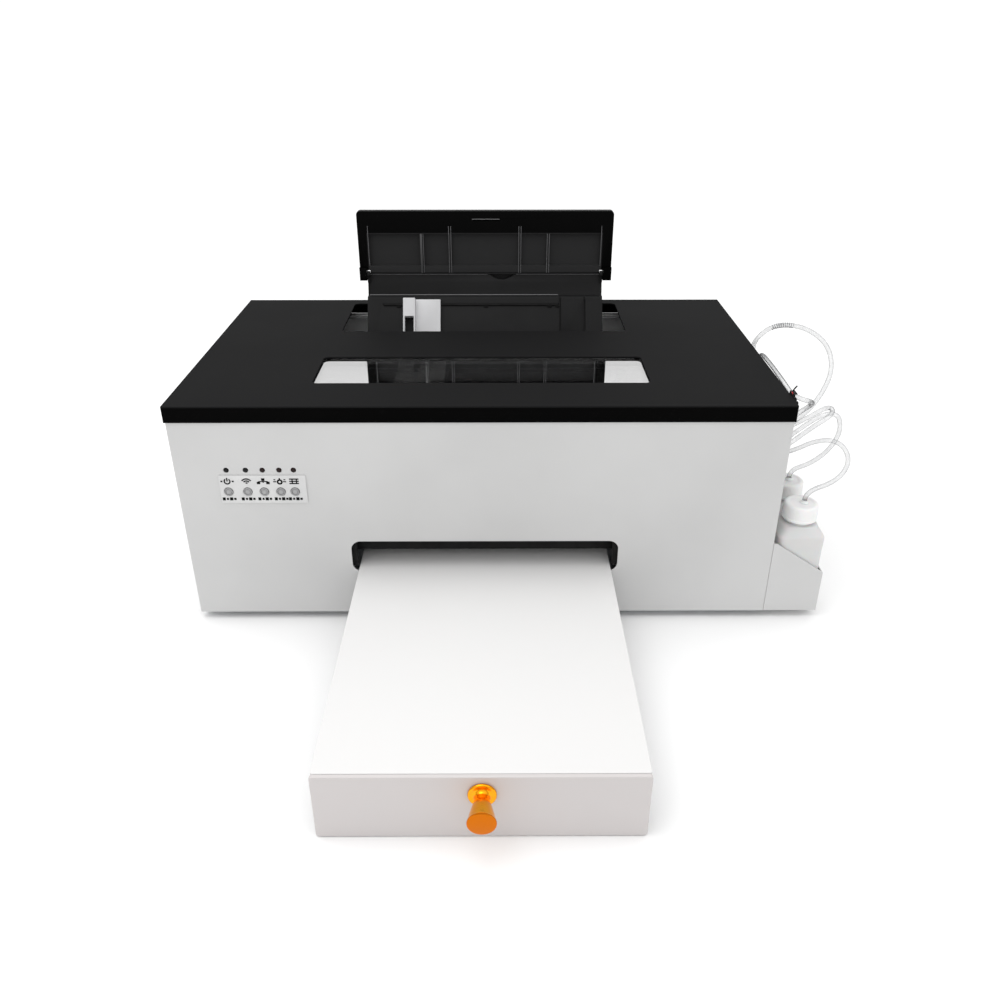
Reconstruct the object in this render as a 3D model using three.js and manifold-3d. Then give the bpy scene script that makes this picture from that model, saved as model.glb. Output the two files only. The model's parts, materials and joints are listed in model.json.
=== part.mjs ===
// Flatbed UV printer: a folded-sheet case with a hinged lid, a printing bed that runs out of a slot in the
// front on telescopic slides, a rear paper support, and two waste bottles in a pocket on the right side.
// Millimetres, +Z up, the front of the case facing -Y. Inside `body` the front face of the case is at y = 0
// and the middle of the case at x = 0; the sheet metal stands on four feet above the table.
import * as THREE from 'three';
import { mergeVertices } from 'three/addons/utils/BufferGeometryUtils.js';
import Module from 'manifold-3d';

const wasm = await Module();
wasm.setup();

// ---- Driving dimensions -------------------------------------------------------------------------------
const GAP = 0.3; // between pieces that touch
const SHEET = 1.5;
const TABLE = -6.8; // height of the table top inside `body`
const CASE = { width: 540, depth: 320, bottom: 0.5, top: 197.7, flange: 10 };
const LID = { width: 542.5, front: -1, rear: 321, bottom: 198, top: 213, sheet: 2 };
const WINDOW = { x0: -153, x1: 154, y0: 54, y1: 124, radius: 5 };
const LID_OPENING = { x0: -148, x1: 150, y0: 203.5, y1: 306, radius: 6 };
const HINGE = { y: 323.6, z: 199.5, barrel: 2.4, pin: 1.2, length: 120 };

const BED = {
  x: 3, width: 234.8, top: 50.5, thick: 4, front: -262.7, rear: 45, travel: 255, apron: TABLE + 0.6,
};
const SLOT = { width: 247, bottom: 45.7, top: 78.9, radius: 9 };
const RAIL = { offset: 95, bottom: 24, height: 18 };
const RACK = { module: 1.5, teeth: 18, pressure: THREE.MathUtils.degToRad(20), backlash: 0.3, width: 8 };
const PINION = { y: 25, width: 10, bore: 2.5 };

const LABEL = { x0: -232, x1: -155, z0: 120, z1: 147.5, thick: 0.6 };
const BUTTONS = {
  names: ['power', 'wireless', 'network', 'clean', 'feed'], z: 131.4, radius: 3.7, travel: 1.5,
};
const BUTTON_X = [-224.7, -207.7, -192.9, -178.2, -165.5];
const LED_X = [-224.4, -207.3, -192.5, -177.8, -165.1];
const LED = { z: 152.4, radius: 2.5 };

const ROD = { y: 150, z: 130, radius: 5 };
const CARRIAGE = { x: 190, width: 90, bottom: 84 };
const BELT = { y: 193, z: 120, width: 6, thick: 1.3, pulley: 8, motorX: -215, idlerX: 218 };
const FRAME = { x: 241.3, thick: 2, y0: 60, y1: 300, top: 172 };
const BEAM = { y: 203, thick: 2, bottom: 92, top: 172, shelf: 146, rear: 292 };

const FEEDER = { x0: -128, x1: 131, skin: 3, top: 252.2, rear: 291 };
const HOPPER = { y: 236, z: 170, lean: Math.atan2(34, 61) }; // foot of the sloping sheet face
const FINGER_NOTCH = { x: 20.3, radius: 19.1, z: 265.8 };
const GROOVE = { x0: -111, x1: 83, s: 60.5, width: 1.6, depth: 1.2 }; // for the edge guide's key
const GUIDE = { x0: -87.8, step: -74.6, x1: -47.4, s0: 20, s1: 66 };
const SHEET_STOP = { x0: 111.5, x1: 130, s0: 26, s1: 66, height: 8, strip: 85.2 };
const ROLLER = { y: 224, z: 176, radius: 9, shaft: 3 };
const FLAP = {
  x0: -136, x1: 140.5, front: 282, rear: 290, bottom: 252.6, top: 320.3, corner: 4, hingeY: 281, hingeZ: 253,
};
const FLAP_RIBS = [-66.3, -36.2, 39.7, 70.5];
const FLAP_RECESS = { x0: -124.7, x1: 127.9, z0: 262, z1: 296.6, depth: 4.5 };
const LUG = 3.6; // radius of the feeder's hinge lugs

const POCKET = { x0: 270.3, x1: 321, depth: 96.1, innerTop: 75, outerTop: 43.5 };
const BOTTLE = {
  x: 297.2, half: 21.9, radius: 6, shoulder: 79.5, top: 88, neck: 13, rows: { front: 24, rear: 71 },
};
const CAP = { x: 298, radius: 15.5, z0: 91, z1: 106.5 };
const OUTLET = { x: 270.3, thick: 2.7, y0: 34, y1: 174, z0: 104, z1: 188, radius: 12 };
const LOOP_TUBE = 4.4;
const THIN_TUBE = 4.2;
const KNOB = { x: 3.7, z: 35.4, length: 26.5, radius: 10.2, waist: 5 };

// ---- Materials ----------------------------------------------------------------------------------------
const finish = (color, roughness, metalness = 0) => (
  new THREE.MeshStandardMaterial({ color, roughness, metalness })
);
const whitePaint = finish(0xd2d0ce, 0.42);
const bedPaint = finish(0xf0efee, 0.35);
const blackPaint = finish(0x2a2a2b, 0.5);
const blackPlastic = finish(0x26262a, 0.55);
const greyPlastic = finish(0xb9b9bb, 0.5);
const labelPlastic = finish(0xdadad8, 0.4);
const rubber = finish(0x1b1b1c, 0.85);
const steel = finish(0x9ea1a4, 0.35, 1);
const zincSheet = finish(0xb4b7b8, 0.45, 1);
const anodised = finish(0xf0a010, 0.3, 1);
const clearAcrylic = finish(0xc9cdd0, 0.05);
const bottlePlastic = finish(0xe6e6e4, 0.45);
const clearTube = finish(0xe4e6e6, 0.25);
const boardGreen = finish(0x1f5a3a, 0.6);
const brass = finish(0xc9a550, 0.3, 1);

// ---- Geometry helpers ---------------------------------------------------------------------------------
// Turns the faces of a closed geometry outwards, whichever way its outline ran.
function outward(geometry) {
  const shape = geometry.index ? geometry.toNonIndexed() : geometry;
  const p = shape.attributes.position.array;
  const [a, b, c] = [new THREE.Vector3(), new THREE.Vector3(), new THREE.Vector3()];
  let volume = 0;
  for (let i = 0; i < p.length; i += 9) {
    a.fromArray(p, i);
    b.fromArray(p, i + 3);
    c.fromArray(p, i + 6);
    volume += a.dot(b.cross(c));
  }
  if (volume < 0) {
    for (let i = 0; i < p.length; i += 9) {
      for (let k = 0; k < 3; k += 1) {
        [p[i + 3 + k], p[i + 6 + k]] = [p[i + 6 + k], p[i + 3 + k]];
      }
    }
  }
  const merged = new THREE.BufferGeometry();
  merged.setAttribute('position', new THREE.BufferAttribute(p, 3));
  return merged;
}

function solid(geometry) {
  const merged = mergeVertices(outward(geometry), 1e-4);
  return new wasm.Manifold(new wasm.Mesh({
    numProp: 3,
    vertProperties: new Float32Array(merged.attributes.position.array),
    triVerts: new Uint32Array(merged.index.array),
  }));
}

function fromSolid(manifold) {
  const mesh = manifold.getMesh();
  const geometry = new THREE.BufferGeometry();
  geometry.setAttribute('position', new THREE.BufferAttribute(new Float32Array(mesh.vertProperties), 3));
  geometry.setIndex(new THREE.BufferAttribute(new Uint32Array(mesh.triVerts), 1));
  return geometry;
}

const join = (first, ...rest) => fromSolid(rest.reduce((sum, part) => sum.add(solid(part)), solid(first)));
const cut = (first, ...rest) => (
  fromSolid(rest.reduce((sum, part) => sum.subtract(solid(part)), solid(first)))
);

function box(x0, x1, y0, y1, z0, z1) {
  const geometry = new THREE.BoxGeometry(x1 - x0, y1 - y0, z1 - z0);
  return geometry.translate((x0 + x1) / 2, (y0 + y1) / 2, (z0 + z1) / 2);
}

const outline = (points) => new THREE.Shape(points.map(([a, b]) => new THREE.Vector2(a, b)));
const rectangle = (a0, a1, b0, b1) => outline([[a0, b0], [a1, b0], [a1, b1], [a0, b1]]);

function roundRectangle(a0, a1, b0, b1, radius) {
  const shape = new THREE.Shape();
  shape.absarc(a1 - radius, b0 + radius, radius, -Math.PI / 2, 0);
  shape.absarc(a1 - radius, b1 - radius, radius, 0, Math.PI / 2);
  shape.absarc(a0 + radius, b1 - radius, radius, Math.PI / 2, Math.PI);
  shape.absarc(a0 + radius, b0 + radius, radius, Math.PI, 1.5 * Math.PI);
  return shape;
}

function circle(a, b, radius) {
  const path = new THREE.Path();
  path.absarc(a, b, radius, 0, 2 * Math.PI, true);
  return path;
}

// Extrudes an outline along one axis: its plane is (y, z) for x, (x, z) for y and (x, y) for z.
const PLANES = {
  x: [new THREE.Vector3(0, 1, 0), new THREE.Vector3(0, 0, 1), new THREE.Vector3(1, 0, 0)],
  y: [new THREE.Vector3(1, 0, 0), new THREE.Vector3(0, 0, 1), new THREE.Vector3(0, -1, 0)],
  z: [new THREE.Vector3(1, 0, 0), new THREE.Vector3(0, 1, 0), new THREE.Vector3(0, 0, 1)],
};

function prism(axis, shape, from, to, segments = 4) {
  const settings = { depth: to - from, bevelEnabled: false, curveSegments: segments };
  const geometry = new THREE.ExtrudeGeometry(shape, settings);
  geometry.applyMatrix4(new THREE.Matrix4().makeBasis(...PLANES[axis]));
  const start = axis === 'y' ? to : from;
  const shift = ['x', 'y', 'z'].map((name) => (name === axis ? start : 0));
  return geometry.translate(...shift);
}

// A turned solid: profile is a list of [radius, distance along the axis].
function turned(axis, profile, segments = 24) {
  const geometry = new THREE.LatheGeometry(profile.map(([r, h]) => new THREE.Vector2(r, h)), segments);
  if (axis === 'z') geometry.rotateX(Math.PI / 2);
  if (axis === 'x') geometry.rotateZ(-Math.PI / 2);
  return geometry;
}

function cylinder(axis, radius, from, to, segments = 24) {
  return turned(axis, [[0, from], [radius, from], [radius, to], [0, to]], segments);
}

const body = new THREE.Group();

function piece(name, geometry, material, parent = body) {
  const closed = mergeVertices(outward(geometry), 1e-4);
  closed.computeVertexNormals();
  const mesh = new THREE.Mesh(closed, material);
  mesh.name = name;
  parent.add(mesh);
  return mesh;
}

// ---- Case ---------------------------------------------------------------------------------------------
const HALF = CASE.width / 2;
const PANEL_Y0 = SHEET + GAP;
const PANEL_Y1 = CASE.depth - SHEET - GAP;
const FLOOR = CASE.bottom + 2; // upper face of the base plate

function makeBase() {
  const x = HALF - SHEET - GAP;
  piece('base_plate', box(-x, x, PANEL_Y0, PANEL_Y1, CASE.bottom, FLOOR), zincSheet);
  const corners = {
    front_left: [-240, 30], front_right: [240, 30], rear_left: [-240, 290], rear_right: [240, 290],
  };
  for (const [place, [fx, fy]] of Object.entries(corners)) {
    const height = CASE.bottom - GAP - TABLE;
    const profile = [[0, 0], [8, 0], [9, 1.5], [10, height], [0, height]];
    const foot = piece(`foot_${place}`, turned('z', profile), rubber);
    foot.position.set(fx, fy, TABLE);
  }
}

// The slot for the bed, with notches below it for the two slides and the rack.
function slotOutline() {
  const { radius: r, bottom, top } = SLOT;
  const x0 = BED.x - SLOT.width / 2;
  const x1 = BED.x + SLOT.width / 2;
  const path = new THREE.Path();
  path.absarc(x0 + r, bottom + r, r, Math.PI, 1.5 * Math.PI);
  const notch = (a, b, low) => {
    path.lineTo(a, bottom);
    path.lineTo(a, low);
    path.lineTo(b, low);
    path.lineTo(b, bottom);
  };
  notch(BED.x - RAIL.offset - 1, BED.x - RAIL.offset + 11, RAIL.bottom - 1);
  notch(BED.x - 6, BED.x + 6, 38.5);
  notch(BED.x + RAIL.offset - 11, BED.x + RAIL.offset + 1, RAIL.bottom - 1);
  path.absarc(x1 - r, bottom + r, r, -Math.PI / 2, 0);
  path.absarc(x1 - r, top - r, r, 0, Math.PI / 2);
  path.absarc(x0 + r, top - r, r, Math.PI / 2, Math.PI);
  return path;
}

function makeFrontPanel() {
  const shape = rectangle(-HALF, HALF, CASE.bottom, CASE.top);
  shape.holes.push(slotOutline());
  BUTTON_X.forEach((x) => shape.holes.push(circle(x, BUTTONS.z, BUTTONS.radius + GAP)));
  LED_X.forEach((x) => shape.holes.push(circle(x, LED.z, LED.radius)));
  const flangeHalf = HALF - CASE.flange - SHEET - 4;
  const flange = box(-flangeHalf, flangeHalf, SHEET / 2, CASE.flange, CASE.top - SHEET, CASE.top);
  piece('front_panel', join(prism('y', shape, 0, SHEET, 8), flange), whitePaint);
}

// A side wall with its lid flange folded inwards and a row of upright cooling slots near the back.
function makeSidePanel(name, side) {
  const outer = side * HALF;
  const inner = side * (HALF - SHEET);
  const lip = side * (HALF - CASE.flange);
  const profile = outline([
    [outer, CASE.bottom], [outer, CASE.top], [lip, CASE.top],
    [lip, CASE.top - SHEET], [inner, CASE.top - SHEET], [inner, CASE.bottom],
  ]);
  const slots = [];
  for (let k = 0; k < 8; k += 1) {
    const y = 212 + 11 * k;
    slots.push(box(outer - 4, outer + 4, y, y + 4, 70, 110));
  }
  piece(name, cut(prism('y', profile, PANEL_Y0, PANEL_Y1), ...slots), whitePaint);
}

function makeRearPanel() {
  const y0 = CASE.depth - SHEET;
  const flangeHalf = HALF - CASE.flange - SHEET - 4;
  const flange = box(-flangeHalf, flangeHalf, CASE.depth - CASE.flange, y0 + 1, CASE.top - SHEET, CASE.top);
  const wall = join(box(-HALF, HALF, y0, CASE.depth, CASE.bottom, CASE.top), flange);
  const openings = [box(196, 224, y0 - 1, CASE.depth + 1, 28, 48.6)];
  for (let k = 0; k < 12; k += 1) {
    const x = -110 + 18 * k;
    openings.push(box(x, x + 12, y0 - 1, CASE.depth + 1, 92, 96));
    openings.push(box(x, x + 12, y0 - 1, CASE.depth + 1, 102, 106));
  }
  piece('rear_panel', cut(wall, ...openings), whitePaint);
  const socket = box(196.3, 223.7, 300, 321.5, 28.3, 48.3);
  piece('power_inlet', cut(socket, box(200, 220, 304, 323, 31.5, 45)), blackPlastic);
}

// ---- Control strip ------------------------------------------------------------------------------------
function makeControls() {
  const plate = rectangle(LABEL.x0, LABEL.x1, LABEL.z0, LABEL.z1);
  BUTTON_X.forEach((x) => plate.holes.push(circle(x, BUTTONS.z, BUTTONS.radius + 2 * GAP)));
  piece('label_plate', prism('y', plate, -GAP - LABEL.thick, -GAP, 8), labelPlastic);
  const r = BUTTONS.radius;
  const profile = [
    [0, -0.3], [r - 0.8, -0.3], [r - 0.7, -1.4], [r - 0.2, -1.4], [r, -1.1],
    [r, 2], [r + 1.3, 2], [r + 1.3, 3], [2, 3], [2, 6], [0, 6],
  ];
  BUTTONS.names.forEach((name, k) => {
    const button = piece(`button_${name}`, turned('y', profile, 16), greyPlastic);
    button.position.set(BUTTON_X[k], 0, BUTTONS.z);
  });
  const board = box(LABEL.x0 - 4, LABEL.x1 + 5, 8, 9.6, LABEL.z0 - 4, LED.z + 14);
  const lights = box(LABEL.x0 + 1, LABEL.x1 - 3, 2, 8.5, LED.z - 4.4, LED.z + 4.6);
  piece('control_board', join(board, lights), boardGreen);
}

// ---- Lid ----------------------------------------------------------------------------------------------
function makeLid() {
  const { sheet, front, rear, bottom, top } = LID;
  const x = LID.width / 2;
  const hole = (o) => prism('z', roundRectangle(o.x0, o.x1, o.y0, o.y1, o.radius), top - 6, top + 6, 5);
  const inside = box(-x + sheet, x - sheet, front + sheet, rear - sheet, bottom - 5, top - sheet);
  const shell = box(-x, x, front, rear, bottom, top);
  piece('lid_cover', cut(shell, inside, hole(WINDOW), hole(LID_OPENING)), blackPaint);
  const rim = 7;
  const pane = roundRectangle(WINDOW.x0 - rim, WINDOW.x1 + rim, WINDOW.y0 - rim, WINDOW.y1 + rim, 8);
  piece('window_pane', prism('z', pane, top - sheet - GAP - 2.5, top - sheet - GAP, 4), clearAcrylic);
}

// A piano hinge: the leaf on the case carries the pin and the outer barrels, the lid's leaf the middle one.
function makeHinge() {
  const end = HINGE.length / 2;
  const middle = end - 25;
  const at = (geometry) => geometry.translate(0, HINGE.y, HINGE.z);
  const outerBarrel = (side) => {
    const [from, to] = [side * middle, side * end].sort((a, b) => a - b);
    return at(cylinder('x', HINGE.barrel, from, to, 16));
  };
  const web = (side) => box(
    Math.min(side * (middle + 0.5), side * end), Math.max(side * (middle + 0.5), side * end),
    CASE.depth + 1, HINGE.y, HINGE.z - 3.9, HINGE.z - 0.5,
  );
  piece('hinge_case_leaf', join(
    box(-end, end, CASE.depth + GAP, CASE.depth + GAP + 1.3, 178, CASE.top - 1),
    web(-1), web(1), outerBarrel(-1), outerBarrel(1),
    at(cylinder('x', HINGE.pin, -middle - 5, middle + 5, 12)),
  ), steel);
  const reach = middle - GAP;
  const sleeve = join(
    at(cylinder('x', HINGE.barrel, -reach, reach, 16)),
    box(-reach, reach, LID.rear + GAP, LID.rear + GAP + 1.1, HINGE.z, LID.top - 3),
  );
  piece('hinge_lid_leaf', cut(sleeve, at(cylinder('x', HINGE.pin + GAP, -end, end, 12))), steel);
}

// ---- Bed ----------------------------------------------------------------------------------------------
const PITCH = Math.PI * RACK.module;
const PITCH_RADIUS = RACK.module * RACK.teeth / 2;
const PITCH_LINE = BED.top - BED.thick - 5; // height of the rack's pitch line
const DEDENDUM = 1.25 * RACK.module;

function makeBed() {
  const half = BED.width / 2;
  const seam = BED.front + 3.5;
  const plate = roundRectangle(BED.x - half, BED.x + half, seam + GAP, BED.rear, 2);
  piece('bed_plate', prism('z', plate, BED.top - BED.thick, BED.top, 2), bedPaint);
  const apron = roundRectangle(BED.x - half, BED.x + half, BED.apron, BED.top, 2);
  piece('bed_apron', prism('y', apron, BED.front, seam, 2), bedPaint);
  // A thin flange against the apron, a narrow waist, and a grip that flares like a horn to the flat end.
  const { radius, waist, length } = KNOB;
  const flare = [0, 0.25, 0.5, 0.75, 1].map((t) => (
    [waist + (radius - waist) * t ** 0.8, -(6.2 + (length - 7.4) * t)]
  ));
  const profile = [
    [0, 0], [radius, 0], [radius, -1.8], [radius - 0.7, -2.6], [waist + 1.4, -3], [waist, -4.2],
    ...flare, [radius - 1, -length], [0, -length],
  ];
  const knob = piece('bed_knob', turned('y', profile, 32), anodised);
  knob.position.set(KNOB.x, BED.front - GAP, KNOB.z);
}

function makeRack() {
  const slope = Math.tan(RACK.pressure);
  const half = PITCH / 4 - RACK.backlash / 4;
  const tip = PITCH_LINE - RACK.module;
  const root = PITCH_LINE + DEDENDUM;
  const back = BED.top - BED.thick - GAP;
  const first = -57;
  const last = 3;
  const points = [];
  for (let k = first; k <= last; k += 1) {
    const y = PINION.y + k * PITCH;
    points.push([y - half - DEDENDUM * slope, root], [y - half + RACK.module * slope, tip]);
    points.push([y + half - RACK.module * slope, tip], [y + half + DEDENDUM * slope, root]);
  }
  const y0 = PINION.y + first * PITCH - 4;
  points.push([BED.rear, root], [BED.rear, back], [y0, back], [y0, root]);
  piece('bed_rack', prism('x', outline(points), BED.x - RACK.width / 2, BED.x + RACK.width / 2), zincSheet);
}

// An involute gear with a tooth space straight above its centre, where a rack tooth stands.
function gearOutline() {
  const base = PITCH_RADIUS * Math.cos(RACK.pressure);
  const involute = (radius) => {
    const angle = Math.acos(Math.min(1, base / radius));
    return Math.tan(angle) - angle;
  };
  const halfAtPitch = Math.PI / (2 * RACK.teeth) - RACK.backlash / (4 * PITCH_RADIUS);
  const outer = PITCH_RADIUS + RACK.module;
  const radii = [base, base + 0.8, PITCH_RADIUS + 0.6, outer];
  const halfAngle = (radius) => halfAtPitch + involute(PITCH_RADIUS) - involute(radius);
  const points = [];
  const put = (radius, angle) => points.push([radius * Math.cos(angle), radius * Math.sin(angle)]);
  for (let k = 0; k < RACK.teeth; k += 1) {
    const middle = Math.PI / 2 + (k + 0.5) * 2 * Math.PI / RACK.teeth;
    put(PITCH_RADIUS - DEDENDUM, middle - halfAngle(base));
    radii.forEach((radius) => put(radius, middle - halfAngle(radius)));
    [...radii].reverse().forEach((radius) => put(radius, middle + halfAngle(radius)));
    put(PITCH_RADIUS - DEDENDUM, middle + halfAngle(base));
  }
  return outline(points);
}

function makeDrive() {
  const z = PITCH_LINE - PITCH_RADIUS;
  const gear = prism('x', gearOutline(), -PINION.width / 2, PINION.width / 2);
  const pinion = piece('drive_pinion', join(gear, cylinder('x', PINION.bore, -9, 11.7, 16)), brass);
  pinion.position.set(BED.x, PINION.y, z);
  const motor = box(BED.x + 12, BED.x + 46, PINION.y - 17, PINION.y + 17, FLOOR + GAP, z + 15);
  piece('feed_motor', motor, steel);
}

// Three-part telescopic slides. u runs from the outer web of the slide towards the middle of the bed.
function makeSlides() {
  const z = RAIL.bottom;
  const foot = FLOOR + GAP;
  const sections = {
    outer: [
      [-6, foot], [1.2, foot], [1.2, z], [5, z], [5, z + 1.2], [1.2, z + 1.2], [1.2, z + 16.8],
      [5, z + 16.8], [5, z + 18], [0, z + 18], [0, foot + 1.5], [-6, foot + 1.5],
    ],
    middle: [
      [1.5, z + 1.5], [6.5, z + 1.5], [6.5, z + 2.7], [2.7, z + 2.7],
      [2.7, z + 15.3], [6.5, z + 15.3], [6.5, z + 16.5], [1.5, z + 16.5],
    ],
    inner: [
      [3, z + 3], [9.2, z + 3], [9.2, BED.top - BED.thick - GAP], [2, BED.top - BED.thick - GAP],
      [2, BED.top - BED.thick - 1.8], [7.6, BED.top - BED.thick - 1.8], [7.6, z + 15], [3, z + 15],
    ],
  };
  const closed = { outer: [6, 300], middle: [8, 300], inner: [4, 300] };
  const drawn = { outer: 0, middle: BED.travel / 2, inner: BED.travel };
  for (const [part, section] of Object.entries(sections)) {
    for (const [side, sign] of [['left', -1], ['right', 1]]) {
      const points = section.map(([u, h]) => [BED.x + sign * (RAIL.offset - u), h]);
      const [y0, y1] = closed[part].map((y) => y - drawn[part]);
      const metal = part === 'middle' ? steel : zincSheet;
      piece(`slide_${part}_${side}`, prism('y', outline(points), y0, y1), metal);
    }
  }
}

// ---- Print mechanism ----------------------------------------------------------------------------------
function makeChassis() {
  const cheek = outline([
    [FRAME.y0, FLOOR + GAP], [FRAME.y1, FLOOR + GAP], [FRAME.y1, FRAME.top - 25], [FRAME.y1 - 25, FRAME.top],
    [FRAME.y0 + 60, FRAME.top], [FRAME.y0, FRAME.top - 90],
  ]);
  piece('side_frame_left', prism('x', cheek, -FRAME.x - FRAME.thick, -FRAME.x), zincSheet);
  piece('side_frame_right', prism('x', cheek, FRAME.x, FRAME.x + FRAME.thick), zincSheet);
  const inside = FRAME.x - GAP;
  const wall = rectangle(-inside, inside, BEAM.bottom, BEAM.top);
  wall.holes.push(circle(BELT.motorX, BELT.z, 5));
  const shelf = box(-inside, inside, BEAM.y, BEAM.rear, BEAM.shelf, BEAM.shelf + BEAM.thick);
  piece('chassis_beam', join(prism('y', wall, BEAM.y, BEAM.y + BEAM.thick, 3), shelf), zincSheet);
  const rod = piece('guide_rod', cylinder('x', ROD.radius, -inside, inside, 20), steel);
  rod.position.set(0, ROD.y, ROD.z);
}

function makeCarriage() {
  const x0 = CARRIAGE.x - CARRIAGE.width / 2;
  const x1 = CARRIAGE.x + CARRIAGE.width / 2;
  const y = ROD.y;
  const side = outline([
    [y - 34, CARRIAGE.bottom], [y + 34, CARRIAGE.bottom], [y + 34, ROD.z - 2], [y + 26, ROD.z + 30],
    [y - 26, ROD.z + 30], [y - 34, ROD.z + 10],
  ]);
  side.holes.push(circle(y, ROD.z, ROD.radius + GAP));
  const clamp = box(CARRIAGE.x - 8, CARRIAGE.x + 8, y + 30, BELT.y - GAP, BELT.z - 14, BELT.z - 5);
  piece('print_carriage', join(prism('x', side, x0, x1, 10), clamp), blackPlastic);
  piece('print_head', box(x0 + 12, x1 - 12, y - 24, y + 24, 80.5, CARRIAGE.bottom - GAP), steel);
  piece('uv_lamp', box(x0 - GAP - 18, x0 - GAP, y - 30, y + 30, 82, 120), zincSheet);
}

function makeBeltDrive() {
  const loop = (radius) => {
    const shape = new THREE.Shape();
    shape.absarc(BELT.idlerX, BELT.z, radius, -Math.PI / 2, Math.PI / 2);
    shape.absarc(BELT.motorX, BELT.z, radius, Math.PI / 2, 1.5 * Math.PI);
    return shape;
  };
  const belt = loop(BELT.pulley + GAP + BELT.thick);
  belt.holes.push(loop(BELT.pulley + GAP));
  piece('carriage_belt', prism('y', belt, BELT.y, BELT.y + BELT.width, 8), rubber);
  const back = BEAM.y + BEAM.thick + GAP;
  const wheel = [[0, BELT.y - 1], [BELT.pulley, BELT.y - 1], [BELT.pulley, BELT.y + BELT.width + 1]];
  const motorShaft = [[2.5, BELT.y + BELT.width + 1], [2.5, back - GAP], [0, back - GAP]];
  const motorPulley = turned('y', [...wheel, ...motorShaft], 20);
  piece('motor_pulley', motorPulley, brass).position.set(BELT.motorX, 0, BELT.z);
  const idlerEnd = BEAM.y - GAP;
  const idler = turned('y', [...wheel, [3, BELT.y + BELT.width + 1], [3, idlerEnd], [0, idlerEnd]], 20);
  piece('idler_pulley', idler, greyPlastic).position.set(BELT.idlerX, 0, BELT.z);
  piece('carriage_motor', cylinder('y', 16, back, back + 32), steel).position.set(BELT.motorX, 0, BELT.z);
}

// ---- Rear paper support -------------------------------------------------------------------------------
// Boxes laid on the sloping face: s runs up the slope from its foot, n stands off the face.
function onSlope(x0, x1, s0, s1, n0, n1) {
  return box(x0, x1, -n1, -n0, s0, s1);
}

function toSlope(geometry) {
  return geometry.rotateX(-HOPPER.lean).translate(0, HOPPER.y, HOPPER.z);
}

function makeFeeder() {
  const foot = BEAM.shelf + BEAM.thick + GAP;
  const front = [
    [208, foot], [208, foot + 4], [229, foot + 4], [236, 170], [270, 231], [277, 231], [284, FEEDER.top],
  ];
  const skin = outline([
    ...front, [FEEDER.rear, FEEDER.top], [FEEDER.rear, FEEDER.top - 12], [284, 227], [273, 227],
    [240, 168], [233, foot],
  ]);
  const cheek = outline([...front, [FEEDER.rear, FEEDER.top], [FEEDER.rear, foot]]);
  const { x0, x1 } = FEEDER;
  const parts = [];
  for (const [a, b, side] of [[x0, x0 + FEEDER.skin, -1], [x1 - FEEDER.skin, x1, 1]]) {
    parts.push(prism('x', cheek, a, b));
    parts.push(box(a, b, 214, 240, foot + 1, ROLLER.z + 10));
    parts.push(box(a, b, FLAP.hingeY - 2, FEEDER.rear - 3, FEEDER.top - 8, FLAP.hingeZ));
    parts.push(cylinder('x', LUG, a, b, 16).translate(0, FLAP.hingeY, FLAP.hingeZ));
    const tip = side < 0 ? FLAP.x0 + 2 : FLAP.x1 - 2;
    const pin = cylinder('x', 2, Math.min(tip, a + 1), Math.max(tip, b - 1), 12);
    parts.push(pin.translate(0, FLAP.hingeY, FLAP.hingeZ));
  }
  const { s0, s1, height, strip } = SHEET_STOP;
  parts.push(toSlope(onSlope(SHEET_STOP.x0, SHEET_STOP.x1, s0, s1, -1, height)));
  parts.push(toSlope(onSlope(strip, x1 - 1, 14, 68, -1, 1.2)));
  const groove = toSlope(onSlope(GROOVE.x0, GROOVE.x1, GROOVE.s, GROOVE.s + GROOVE.width, -GROOVE.depth, 1));
  const notch = cylinder('y', FINGER_NOTCH.radius, 280, 288, 48).translate(FINGER_NOTCH.x, 0, FINGER_NOTCH.z);
  piece('feeder_frame', cut(join(prism('x', skin, x0, x1), ...parts), notch, groove), blackPlastic);
}

function makeFeederMoving() {
  const slope = new THREE.Group();
  slope.position.set(0, HOPPER.y, HOPPER.z);
  slope.rotation.x = -HOPPER.lean;
  body.add(slope);
  const { x0, step, x1, s0, s1 } = GUIDE;
  const fence = join(onSlope(step - 1, x1, s0, s1, GAP, 4), onSlope(x0, step, s0, s1, GAP, 12));
  const guide = cut(fence, onSlope(x0 + 1.8, step - 1.6, s0 - 1, 45.8, 4, 13));
  piece('edge_guide', guide, greyPlastic, slope);
  const { radius, shaft } = ROLLER;
  const a = FEEDER.x0 + FEEDER.skin + GAP;
  const b = FEEDER.x1 - FEEDER.skin - GAP;
  const profile = [
    [0, a], [shaft, a], [shaft, -22], [radius, -22], [radius, 28], [shaft, 28], [shaft, b], [0, b],
  ];
  piece('pickup_roller', turned('x', profile, 20), rubber).position.set(0, ROLLER.y, ROLLER.z);
}

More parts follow.
